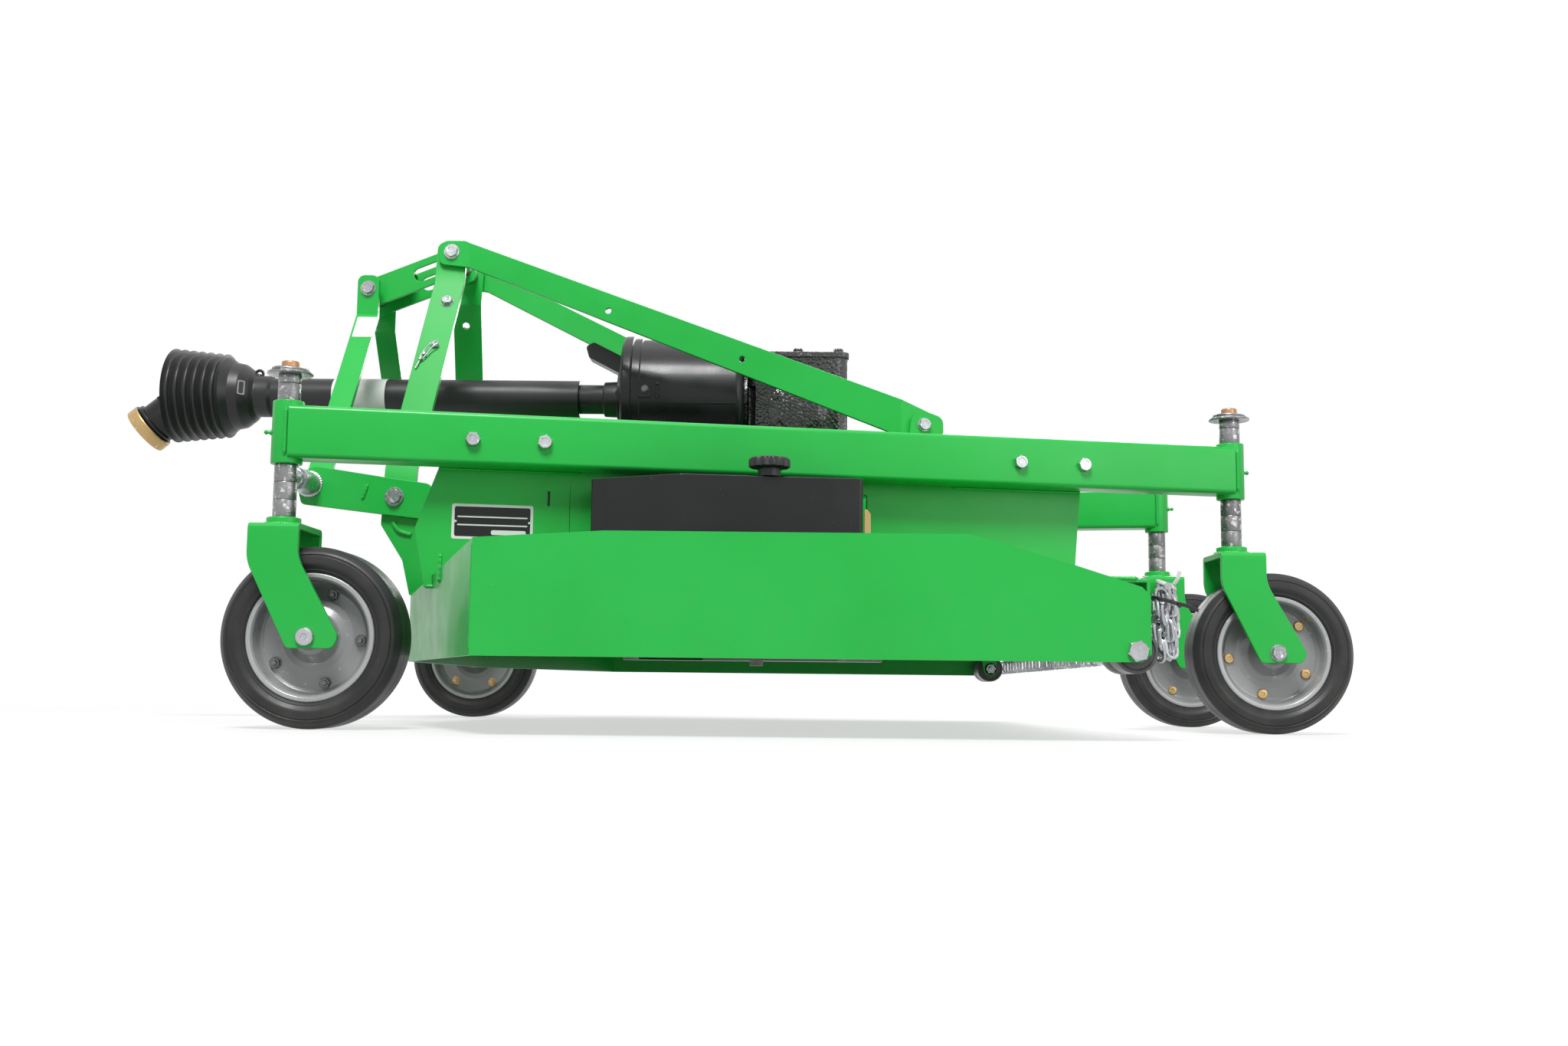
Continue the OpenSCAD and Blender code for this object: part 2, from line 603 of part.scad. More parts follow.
// Outer radius of the bell at a place t from its back, 0, to its mouth, 1
function bell_at(t) = bell_r - 10 + 10 * t;
module driveline_guard() {
    wall = 3;
    rib = 4;
    guide = 30;
    ribs = [for (i = [0:2 * bell_ribs]) let (t = i / (2 * bell_ribs))
        [bell_at(t) - (i % 2 == 0 ? rib : 0), bell_back + (bell_mouth - bell_back) * t]];
    dome = arc([0, dome_back], 62, 12, 46, 6);
    color(black) mower() translate([0, 0, drive_z]) along_x() {
        rotate_extrude() polygon(concat(
            [[tube_r - wall, tube_back + guide], [inner_tube_r + running_gap, tube_back + guide],
             [inner_tube_r + running_gap, tube_back], [tube_r, tube_back], [tube_r, neck_back], [tube_r + 4, neck_back],
             [tube_r + 4, dome_back], [46, dome_back + 8], [58, dome_back + 24], [64, bell_back - 6]],
            ribs,
            [[bell_r - rib - wall, bell_mouth], [bell_at(0) - rib - wall - 2, bell_back + 4],
             [54, dome_back + 30], [42, dome_back + 18], [tube_r, dome_back + 6], [tube_r - wall, dome_back]]));
        translate([0, 0, neck_back + 6]) difference() {
            cylinder(r = tube_r - wall + 1, h = 30);
            translate([0, 0, -1]) cylinder(r = 14, h = 32);
        }
        translate([0, 0, neck_back + 6]) cylinder(r = 15, h = joint_x - neck_back - 40);
    }
    color(zinc) mower() translate([joint_x, 0, drive_z]) {
        translate([-42, 0, 0]) along_x() cylinder(r = 30, h = 16);
        for (s = [-1, 1]) translate([-34, -15, s > 0 ? 18 : -30]) cube([48, 30, 12]);
        across(34) cylinder(r = 8, h = 68);
        translate([0, 0, -30]) cylinder(r = 8, h = 60);
        sphere(r = 15);
    }
}

// Yoke with its two ears and the locking collar
module driveline_yoke() {
    ear_t = 11;
    ear_y = 28;
    hub_from = 34;
    color(gold) mower() translate([joint_x, 0, drive_z]) rotate([0, yoke_droop, 0]) difference() {
        union() {
            for (s = [-1, 1]) intersection() {
                side_plate(s * ear_y, ear_t)
                    polygon(outline([[-17, -17, 16], [-17, 17, 16], [44, 24, 0], [44, -24, 0]]));
                translate([-20, -60, -60]) cube([70, 120, 120]);
            }
            translate([hub_from, 0, 0]) along_x() cylinder(r = 34, h = yoke_len - collar_w - hub_from);
            translate([yoke_len - collar_w, 0, 0]) along_x() rotate_extrude()
                polygon(outline([[0, 0, 0], [collar_r, 0, collar_round],
                    [collar_r, collar_w, collar_round], [0, collar_w, 0]]));
        }
        across(60) cylinder(r = 8 + running_gap, h = 120);
        translate([yoke_len - 56, 0, 0]) along_x() cylinder(r = spline_r, h = 60);
    }
}

// Belt covers, knobs, belt and spindles

cover_top = 360;
cover_front = mid_spindle_x - 6;
cover_rear = spindle_x + 173;
cover_inner = 175;
cover_rows = [[-cover_front, spindle_y + 38, 6], [-spindle_x + 84, spindle_y + 103, 8],
    [-cover_rear, spindle_y + 66, 6], [-cover_rear, cover_inner, 0], [-cover_front, cover_inner, 0]];
cover_t = 3;
stud = [-spindle_x - 40, spindle_y + 73];

module belt_cover(side) {
    color(black) mower() mirrored(side) difference() {
        translate([0, 0, deck_top_z]) linear_extrude(cover_top - deck_top_z) polygon(outline(cover_rows));
        translate([0, 0, deck_top_z - 1]) linear_extrude(cover_top - deck_top_z - cover_t + 1)
            polygon(outline([for (row = cover_rows)
                [row[0] + (row[0] > -500 ? -cover_t : row[0] < -700 ? cover_t : 0),
                 row[1] > 500 ? row[1] - cover_t : row[1] - 1, row[2]]]));
        translate([stud[0], stud[1], cover_top - cover_t - 1]) cylinder(r = 6, h = cover_t + 2);
    }
}

// Star knob on its stud, one on each cover
module cover_knobs() {
    lobes = 8;
    color(black) mower() for (side = [1, -1]) mirrored(side)
        translate([stud[0], stud[1], cover_top + running_gap]) {
            cylinder(r = 14, h = 10);
            translate([0, 0, 10]) difference() {
                cylinder(r = 28, h = 15);
                for (i = [0:lobes - 1]) rotate(i * 360 / lobes) translate([31, 0, -1]) cylinder(r = 6.5, h = 17);
            }
        }
    color(zinc) mower() for (side = [1, -1]) mirrored(side)
        translate([stud[0], stud[1], deck_top_z]) cylinder(r = 5, h = cover_top - deck_top_z + 12);
}

belt_circles = [[-mid_spindle_x, 0, pulley_r], [-spindle_x, spindle_y, pulley_r],
    [drive_x, 0, drive_r], [-spindle_x, -spindle_y, pulley_r]];

module belt() {
    color(rubber) mower() translate([0, 0, belt_z - belt_w / 2]) linear_extrude(belt_w) difference() {
        polygon(tight_loop(belt_circles, belt_h));
        polygon(tight_loop(belt_circles, running_gap));
    }
}

housing_r = 45;
shaft_r = 15;
module spindle_housings() {
    color(black) mower() for (p = spindle_places()) translate([p[0], p[1], 0]) difference() {
        union() {
            translate([0, 0, deck_top_z]) cylinder(r = 70, h = 8);
            translate([0, 0, deck_top_z - 48]) cylinder(r1 = 34, r2 = housing_r, h = 48);
            translate([0, 0, deck_top_z + 8]) cylinder(r1 = housing_r, r2 = 34, h = 40);
            for (a = [0:60:300]) rotate(a) translate([54, 0, deck_top_z + 8]) cylinder(r = 8, h = 7, $fn = 6);
        }
        cylinder(r = shaft_r + running_gap, h = belt_z);
    }
}

// Shaft with its pulley above and the blade's seat below
blade_z = deck_bottom + 22;
module spindle(i) {
    p = spindle_places()[i];
    color(grey) mower() translate([p[0], p[1], 0]) {
        translate([0, 0, blade_z + blade_t]) cylinder(r = shaft_r, h = belt_z + 14 - blade_z - blade_t);
        translate([0, 0, blade_z + blade_t]) cylinder(r = 28, h = deck_top_z - 50 - blade_z - blade_t);
        translate([0, 0, blade_z - 10]) cylinder(r = 14, h = 10 + blade_t);
        translate([0, 0, belt_z]) pulley(pulley_r);
    }
}

// Blade with sharpened edges and upturned tails
module blade(i) {
    p = spindle_places()[i];
    tail = 92;
    lift = 14;
    color(grey) mower() translate([p[0], p[1], blade_z]) difference() {
        union() {
            translate([-blade_len / 2, -blade_w / 2, 0]) cube([blade_len, blade_w, blade_t]);
            for (a = [0, 180]) rotate(a)
                translate([blade_len / 2 - tail, -blade_w / 2, 0]) rotate([90, 0, 90]) linear_extrude(tail)
                polygon([[0, 0], [16, 0], [16, blade_t], [-lift / 2, blade_t + lift], [-lift, lift]]);
        }
        for (a = [0, 180]) rotate(a) translate([blade_len / 2 - 150, blade_w / 2, 0]) rotate([0, 90, 0])
            linear_extrude(160) polygon([[-blade_t - 1, -14], [-blade_t - 1, 1], [1, 1], [1, 0]]);
        translate([0, 0, -1]) cylinder(r = 14 + running_gap, h = blade_t + 2);
    }
}

// Rear curtain: rod, hangers and strands of links

rod_x = -deck_rear - 25;
rod_z = deck_top_z - 8;
rod_r = 5;
module chain_curtain() {
    link_l = 30;
    link_w = 18;
    wire = 5;
    pitch = link_l - 2 * wire;
    reach = half_w - 20;
    strand = 3;
    color(zinc) mower() {
        across(reach + 8) translate([rod_x, rod_z, 0]) cylinder(r = rod_r, h = 2 * reach + 16);
        for (s = [-1, 0, 1]) translate([rod_x - rod_r, s * (reach - 20) - 4, rod_z - 4])
            cube([-deck_rear - rod_x + rod_r, 8, 10]);
        for (i = [0:chain_strands - 1])
            translate([rod_x, -reach + 2 * reach * i / (chain_strands - 1), rod_z - 4]) for (k = [0:strand]) {
                translate([0, 0, -link_l / 2 - k * pitch]) rotate([0, 0, k % 2 == 0 ? 90 : 0])
                    chain_link(link_l, link_w, wire, k % 2 == 0);
            }
    }
}

// Link seen face-on as an open eight-sided ring, and edge-on as a bar
module chain_link(l, w, wire, open) {
    a = w / 2;
    b = l / 2;
    c = w / 4;
    if (open) translate([0, wire / 2, 0]) rotate([90, 0, 0]) linear_extrude(wire) difference() {
        polygon([[a, b - c], [c, b], [-c, b], [-a, b - c], [-a, c - b], [-c, -b], [c, -b], [a, c - b]]);
        square([w - 2 * wire, l - 2 * wire], center = true);
    }
    else translate([-w / 2 + 1, -wire / 2, -b]) cube([w - 2, wire, l]);
}

// Corner rollers that keep the deck off the turf
roller_x = -deck_rear + 17;
roller_z = deck_bottom + 14;
module roller(side) {
    from = half_w - deck_t - 5;
    color(black) mower() mirrored(side) translate([roller_x, 0, roller_z]) difference() {
        across(from) rotate_extrude() polygon(outline([[axle_r, 0, 0], [roller_r, 0, 5],
            [roller_r, roller_len, 5], [axle_r, roller_len, 0]]));
        across(from + 1) cylinder(r = axle_r + running_gap, h = roller_len + 2);
    }
}

// Caster forks, rims and tyres; i picks the corner

// Rows of [x, y] of the stems, in the order front left, front right, rear left, rear right
stems = [[0, front_track / 2], [0, -front_track / 2],
    [-caster_span, rear_track / 2], [-caster_span, -rear_track / 2]];

module fork(i) {
    crown = 71;
    front = 32;
    rows = [[front, fork_crown_z, 0], [front, 232, 60], [-28, wheel_r - 16, 8], [-92, wheel_r - 16, 10],
        [-100, wheel_r, 12], [front - crown, 236, 60], [front - crown, fork_crown_z, 0]];
    mower() translate([stems[i][0], stems[i][1], 0]) {
        color(green) {
            for (s = [-1, 1]) side_plate(s * leg_y, fork_t) polygon(outline(rows));
            translate([front - crown, -leg_y - fork_t / 2, fork_crown_z - fork_t - 2])
                cube([crown, fork_gap + 2 * fork_t, fork_t + 2]);
            translate([0, 0, fork_crown_z - 1]) cylinder(r = 24, h = fork_boss_h + 1);
        }
        color(zinc) {
            translate([-caster_trail, 0, wheel_r]) across(leg_y + fork_t / 2 + 8)
                cylinder(r = axle_r, h = 2 * leg_y + fork_t + 16);
            for (s = [-1, 1]) translate([-caster_trail, 0, wheel_r])
                across(s > 0 ? leg_y + fork_t / 2 + 7 : -leg_y - fork_t / 2) cylinder(r = 13, h = 7, $fn = 6);
            translate([0, 0, fork_crown_z]) cylinder(r = stem_r, h = stem_top - fork_crown_z);
            translate([0, 0, fork_crown_z + fork_boss_h]) cylinder(r = spacer_r, h = spacers_below * spacer_h);
            translate([0, 0, bushing_z + bushing_h + running_gap]) cylinder(r = spacer_r, h = upper_spacers * spacer_h);
            translate([0, 0, washer_z]) cylinder(r = washer_r, h = washer_t);
            translate([0, 0, washer_z + washer_t + 3]) rotate_extrude() translate([washer_r - 8, 0]) circle(r = 2.5, $fn = 16);
            translate([-washer_r + 8, 0, washer_z + washer_t + 3]) along_x() cylinder(r = 2.5, h = 2 * washer_r - 16);
        }
    }
}

module wheel_place(i) {
    mower() translate([stems[i][0] - caster_trail, stems[i][1], wheel_r]) rotate([90, 0, 0]) children();
}

// Split rim: flanges, barrel, dished discs and the hub, as one turned profile
module rim(i) {
    face = 34;
    seat = rim_r - 6;
    hub = fork_gap / 2 - 3;
    right = [[rim_r, face], [rim_r, face - 3], [seat, face - 8]];
    dish = [[seat - 3, face - 1], [seat - 6, 12], [50, 6], [40, 10], [24, 30], [17, 32], [17, hub], [axle_r + running_gap, hub]];
    flip = function (rows) [for (k = [len(rows) - 1:-1:0]) [rows[k][0], -rows[k][1]]];
    color(grey) wheel_place(i) difference() {
        rotate_extrude() polygon(concat(right, flip(right), [for (p = dish) [p[0], -p[1]]], flip([for (p = dish) [p[0], -p[1]]])));
        for (a = [0:72:288]) rotate(a) translate([65, 0, -40]) cylinder(r = 4, h = 80, $fn = 16);
    }
}

module tyre(i) {
    half = tyre_w / 2;
    rows = [[rim_r - 6, -26, 0], [rim_r, -31, 0], [rim_r, -34, 2], [rim_r + 12, -half, 8], [wheel_r - 9, -half + 2, 7],
        [wheel_r, -half + 13, 8], [wheel_r, half - 13, 8], [wheel_r - 9, half - 2, 7], [rim_r + 12, half, 8],
        [rim_r, 34, 2], [rim_r, 31, 0], [rim_r - 6, 26, 0]];
    color(rubber) wheel_place(i) rotate_extrude() polygon(outline(rows, 3));
}

deck_top();
front_wall();
skirt(1);  // skirt_left
skirt(-1);  // skirt_right
side_panel(1);  // side_panel_left
side_panel(-1);  // side_panel_right
beam(1);  // beam_left
beam(-1);  // beam_right
hitch_bracket(1);  // hitch_bracket_left
hitch_bracket(-1);  // hitch_bracket_right
mast(1);  // mast_left
mast(-1);  // mast_right
mast_bolt_set();  // mast_bolt
brace(1);  // brace_left
brace(-1);  // brace_right
gearbox();
gearbox_stand();
gearbox_guard();
driveline_inner();
driveline_guard();
driveline_yoke();
belt_cover(1);  // belt_cover_left
belt_cover(-1);  // belt_cover_right
cover_knobs();
belt();
spindle_housings();
blade(0);  // blade_left
blade(1);  // blade_middle
blade(2);  // blade_right
spindle(0);  // spindle_left
spindle(1);  // spindle_middle
spindle(2);  // spindle_right
chain_curtain();
roller(1);  // roller_left
roller(-1);  // roller_right
hitch_arm(1);  // hitch_arm_left
hitch_arm(-1);  // hitch_arm_right
hitch_pin(1);  // hitch_pin_left
hitch_pin(-1);  // hitch_pin_right
top_link_pin();
top_link();
fork(0);  // fork_front_left
fork(1);  // fork_front_right
fork(2);  // fork_rear_left
fork(3);  // fork_rear_right
rim(0);  // rim_front_left
rim(1);  // rim_front_right
rim(2);  // rim_rear_left
rim(3);  // rim_rear_right
tyre(0);  // tyre_front_left
tyre(1);  // tyre_front_right
tyre(2);  // tyre_rear_left
tyre(3);  // tyre_rear_right
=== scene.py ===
"""Looks of a three-point finishing mower on its four caster wheels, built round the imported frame."""

import json
import logging
import math
from collections.abc import Callable, Iterable, Sequence
from dataclasses import dataclass
from enum import Enum

import bmesh
import bpy
import numpy as np
from mathutils import Matrix, Vector

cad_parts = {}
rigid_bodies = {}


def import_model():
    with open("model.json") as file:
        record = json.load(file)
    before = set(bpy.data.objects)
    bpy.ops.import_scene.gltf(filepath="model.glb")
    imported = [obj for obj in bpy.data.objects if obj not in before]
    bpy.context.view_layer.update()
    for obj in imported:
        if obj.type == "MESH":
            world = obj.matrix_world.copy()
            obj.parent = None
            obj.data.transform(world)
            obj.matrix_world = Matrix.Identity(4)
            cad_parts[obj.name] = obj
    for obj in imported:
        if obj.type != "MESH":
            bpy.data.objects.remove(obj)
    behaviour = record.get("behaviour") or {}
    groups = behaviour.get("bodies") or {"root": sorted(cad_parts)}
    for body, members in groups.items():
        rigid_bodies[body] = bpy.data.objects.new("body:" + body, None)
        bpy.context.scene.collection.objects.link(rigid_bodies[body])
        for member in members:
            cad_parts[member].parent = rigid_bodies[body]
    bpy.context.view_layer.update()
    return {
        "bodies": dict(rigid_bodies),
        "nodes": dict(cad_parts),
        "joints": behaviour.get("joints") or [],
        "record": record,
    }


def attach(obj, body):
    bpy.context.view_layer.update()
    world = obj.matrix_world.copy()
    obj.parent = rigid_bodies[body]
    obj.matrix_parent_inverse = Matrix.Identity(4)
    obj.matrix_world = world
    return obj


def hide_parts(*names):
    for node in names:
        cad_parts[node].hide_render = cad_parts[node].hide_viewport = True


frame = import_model()

Array = np.ndarray
Colour = tuple[float, float, float]
Rows = Sequence[Sequence[float]]

log = logging.getLogger("mower")

MM = 0.001
STEM_X = 571.29
PHOTO_SIZE = (2047, 1365)
X = np.array([1.0, 0.0, 0.0])
Y = np.array([0.0, 1.0, 0.0])
Z = np.array([0.0, 0.0, 1.0])


class Grain(Enum):
    """Fine structure that a finish can have."""

    PEEL = "peel"
    CAST = "cast"
    SPANGLE = "spangle"
    BRUSHED = "brushed"
    MOULDED = "moulded"


@dataclass(frozen=True)
class Coat:
    """Colours, gloss and grain of one finish.

    Attributes:
        slot: The record's material slot; not used.
        base: Main colour.
        shade: Colour of the broad, faint blotches.
        wear: Colour of the small specks and scuffs.
        wear_share: Share of the surface that the specks take.
        rough: Lowest and highest roughness.
        metallic: Metallic value of the shader.
        grain: Kind of fine structure.
        grain_scale: Grains on one metre.
        bump: Depth of the grain in metres.
        clear: Weight of a clear coat.
        dust: Strength of the dust near the floor.
        gloss: Specular level of the shader.
    """

    slot: str
    base: Colour
    shade: Colour
    wear: Colour
    wear_share: float
    rough: tuple[float, float]
    metallic: float
    grain: Grain
    grain_scale: float
    bump: float
    clear: float = 0.0
    dust: float = 0.0
    gloss: float = 0.5


DUST = (0.33, 0.29, 0.23)


class Finish(Enum):
    """Every finish on the mower."""

    GREEN = Coat("green_paint", (0.014, 0.455, 0.062), (0.010, 0.425, 0.052), (0.030, 0.520, 0.090),
                 0.05, (0.30, 0.40), 0.0, Grain.PEEL, 300, 0.00001, 0.08, 0.05, 0.36)
    CAST = Coat("cast_black", (0.007, 0.007, 0.007), (0.012, 0.012, 0.013), (0.050, 0.050, 0.050),
                0.10, (0.12, 0.28), 0.0, Grain.CAST, 170, 0.00100, 0.3, 0.0, 0.8)
    PLASTIC = Coat("black_plastic", (0.010, 0.010, 0.011), (0.016, 0.016, 0.017), (0.045, 0.045, 0.047),
                   0.06, (0.32, 0.46), 0.0, Grain.MOULDED, 900, 0.00005, 0.0, 0.0, 0.42)
    BLACK = Coat("black_paint", (0.007, 0.007, 0.008), (0.012, 0.012, 0.013), (0.040, 0.040, 0.042),
                 0.08, (0.24, 0.38), 0.0, Grain.PEEL, 520, 0.00005, 0.05, 0.0, 0.3)
    ZINC = Coat("zinc", (0.560, 0.570, 0.590), (0.330, 0.340, 0.360), (0.800, 0.810, 0.830),
                0.25, (0.20, 0.46), 0.9, Grain.SPANGLE, 300, 0.00012)
    GALVANISED = Coat("zinc", (0.300, 0.300, 0.305), (0.170, 0.170, 0.175), (0.620, 0.620, 0.630),
                      0.34, (0.22, 0.48), 0.9, Grain.SPANGLE, 420, 0.00018)
    STEEL = Coat("steel", (0.230, 0.225, 0.220), (0.150, 0.145, 0.140), (0.420, 0.300, 0.200),
                 0.22, (0.36, 0.58), 0.9, Grain.BRUSHED, 320, 0.00008, 0.0, 0.2)
    GOLD = Coat("gold_zinc", (0.600, 0.420, 0.190), (0.460, 0.310, 0.140), (0.740, 0.580, 0.340),
                0.25, (0.28, 0.44), 0.85, Grain.SPANGLE, 300, 0.00004)
    COPPER = Coat("gold_zinc", (0.480, 0.270, 0.150), (0.330, 0.180, 0.100), (0.620, 0.420, 0.270),
                  0.30, (0.28, 0.46), 0.85, Grain.BRUSHED, 300, 0.00005)
    BELT = Coat("belt_rubber", (0.014, 0.014, 0.014), (0.024, 0.024, 0.024), (0.055, 0.053, 0.050),
                0.20, (0.60, 0.80), 0.0, Grain.MOULDED, 700, 0.00010)
    ROLLER = Coat("dark_roller", (0.075, 0.075, 0.077), (0.050, 0.050, 0.052), (0.150, 0.150, 0.150),
                  0.15, (0.34, 0.50), 0.0, Grain.MOULDED, 600, 0.00008, 0.1, 0.15)
    # The rim is one grey paint: the disc takes this darker copy as painted shade, and the flange the lighter copy below
    # as a painted highlight.
    RIM = Coat("grey_rim", (0.290, 0.295, 0.300), (0.210, 0.215, 0.220), (0.400, 0.405, 0.410),
               0.18, (0.28, 0.40), 0.25, Grain.PEEL, 300, 0.00005, 0.25, 0.12)
    LIP = Coat("grey_rim", (0.430, 0.435, 0.440), (0.340, 0.345, 0.350), (0.560, 0.565, 0.570),
               0.18, (0.24, 0.36), 0.3, Grain.PEEL, 300, 0.00005, 0.25, 0.05)
    TYRE = Coat("tyre_rubber", (0.013, 0.013, 0.014), (0.019, 0.019, 0.020), (0.045, 0.045, 0.044),
                0.10, (0.38, 0.54), 0.0, Grain.MOULDED, 650, 0.00008, 0.03, 0.06, 0.38)
    NUT = Coat("steel", (0.200, 0.200, 0.205), (0.120, 0.120, 0.125), (0.420, 0.420, 0.430),
               0.20, (0.26, 0.44), 1.0, Grain.BRUSHED, 400, 0.00005)
    STICKER = Coat("zinc", (0.780, 0.780, 0.770), (0.700, 0.700, 0.690), (0.560, 0.555, 0.540),
                   0.06, (0.30, 0.42), 0.0, Grain.PEEL, 350, 0.00003)
    TIE = Coat("black_plastic", (0.800, 0.800, 0.790), (0.700, 0.700, 0.690), (0.600, 0.590, 0.570),
               0.05, (0.35, 0.50), 0.0, Grain.MOULDED, 800, 0.00003)


class NodeGroups:
    """Shader effects that the materials share, each built once as a group."""

    def __init__(self) -> None:
        """Starts with no group built."""
        self.made: dict[str, bpy.types.NodeTree] = {}

    def start(self, name: str, inputs: Sequence[tuple[str, float]], outputs: Sequence[str]
              ) -> tuple[bpy.types.NodeTree, bpy.types.Node, bpy.types.Node]:
        """Makes an empty group with a Vector input.

        Args:
            name: The group's name.
            inputs: Name and default of each further number input.
            outputs: Names of the number outputs.

        Returns:
            The tree with its input and output nodes.
        """
        tree = bpy.data.node_groups.new(name, "ShaderNodeTree")
        tree.interface.new_socket("Vector", in_out="INPUT", socket_type="NodeSocketVector")
        for label, value in inputs:
            tree.interface.new_socket(label, in_out="INPUT", socket_type="NodeSocketFloat").default_value = value
        for label in outputs:
            tree.interface.new_socket(label, in_out="OUTPUT", socket_type="NodeSocketFloat")
        self.made[name] = tree
        return tree, tree.nodes.new("NodeGroupInput"), tree.nodes.new("NodeGroupOutput")

    @staticmethod
    def ramp(tree: bpy.types.NodeTree, source: bpy.types.NodeSocket, low: float, high: float
             ) -> bpy.types.NodeSocket:
        """Stretches source so that low becomes 0 and high becomes 1, held between them.

        Args:
            tree: Tree that gets the node.
            source: Number to stretch.
            low: Value that becomes 0.
            high: Value that becomes 1.

        Returns:
            The stretched number.
        """
        node = tree.nodes.new("ShaderNodeMapRange")
        node.inputs["From Min"].default_value = low
        node.inputs["From Max"].default_value = high
        tree.links.new(source, node.inputs["Value"])
        return node.outputs["Result"]

    @staticmethod
    def noise(tree: bpy.types.NodeTree, vector: bpy.types.NodeSocket, scale: float, detail: float
              ) -> bpy.types.NodeSocket:
        """Adds a noise texture and gives its number."""
        node = tree.nodes.new("ShaderNodeTexNoise")
        node.inputs["Scale"].default_value = scale
        node.inputs["Detail"].default_value = detail
        tree.links.new(vector, node.inputs["Vector"])
        return node.outputs["Fac"]

    def weathering(self) -> bpy.types.NodeTree:
        """Group whose Blotch is a broad noise, Speck a sharp one above a share, Dust one that fades upwards."""
        if "weathering" in self.made:
            return self.made["weathering"]
        tree, source, out = self.start("weathering", [("Speck Share", 0.1)], ["Blotch", "Speck", "Dust"])
        vector = source.outputs["Vector"]
        blotch = self.ramp(tree, self.noise(tree, vector, 7.0, 3.0), 0.35, 0.68)
        fine = self.noise(tree, vector, 160.0, 5.0)
        edge = tree.nodes.new("ShaderNodeMath")
        edge.operation = "MULTIPLY_ADD"
        edge.inputs[1].default_value = 0.45
        edge.inputs[2].default_value = -0.74
        tree.links.new(source.outputs["Speck Share"], edge.inputs[0])
        both = tree.nodes.new("ShaderNodeMath")
        both.operation = "ADD"
        tree.links.new(fine, both.inputs[0])
        tree.links.new(edge.outputs[0], both.inputs[1])
        speck = self.ramp(tree, both.outputs[0], 0.0, 0.06)
        split = tree.nodes.new("ShaderNodeSeparateXYZ")
        tree.links.new(vector, split.inputs[0])
        height = self.ramp(tree, split.outputs["Z"], 0.30, 0.0)
        cloud = self.ramp(tree, self.noise(tree, vector, 28.0, 6.0), 0.42, 0.72)
        dust = tree.nodes.new("ShaderNodeMath")
        dust.operation = "MULTIPLY"
        tree.links.new(height, dust.inputs[0])
        tree.links.new(cloud, dust.inputs[1])
        for label, value in (("Blotch", blotch), ("Speck", speck), ("Dust", dust.outputs[0])):
            tree.links.new(value, out.inputs[label])
        return tree

    def grain(self, kind: Grain) -> bpy.types.NodeTree:
        """Group with the Height and Gloss of one kind of grain, at a Scale in grains on a metre.

        Args:
            kind: Kind of fine structure.

        Returns:
            The group, built on its first use.
        """
        name = f"{kind.value}_grain"
        if name in self.made:
            return self.made[name]
        tree, source, out = self.start(name, [("Scale", 300.0)], ["Height", "Gloss"])
        vector = source.outputs["Vector"]
        first = tree.nodes.new("ShaderNodeTexVoronoi" if kind in (Grain.SPANGLE, Grain.CAST) else "ShaderNodeTexNoise")
        if kind is Grain.BRUSHED:
            stretch = tree.nodes.new("ShaderNodeVectorMath")
            stretch.operation = "MULTIPLY"
            stretch.inputs[1].default_value = (0.08, 1.0, 1.0)
            tree.links.new(vector, stretch.inputs[0])
            vector = stretch.outputs[0]
        tree.links.new(vector, first.inputs["Vector"])
        tree.links.new(source.outputs["Scale"], first.inputs["Scale"])
        if kind is Grain.SPANGLE:
            height = first.outputs["Distance"]
            grey = tree.nodes.new("ShaderNodeRGBToBW")
            tree.links.new(first.outputs["Color"], grey.inputs[0])
            gloss = grey.outputs[0]
        elif kind is Grain.CAST:
            height = self.ramp(tree, first.outputs["Distance"], 0.8, 0.0)
            gloss = self.ramp(tree, self.noise(tree, vector, 60.0, 4.0), 0.3, 0.7)
        else:
            first.inputs["Detail"].default_value = {Grain.PEEL: 1.0, Grain.MOULDED: 4.0}.get(kind, 6.0)
            height = first.outputs["Fac"]
            gloss = self.ramp(tree, self.noise(tree, vector, 22.0, 5.0), 0.3, 0.7)
        tree.links.new(height, out.inputs["Height"])
        tree.links.new(gloss, out.inputs["Gloss"])
        return tree


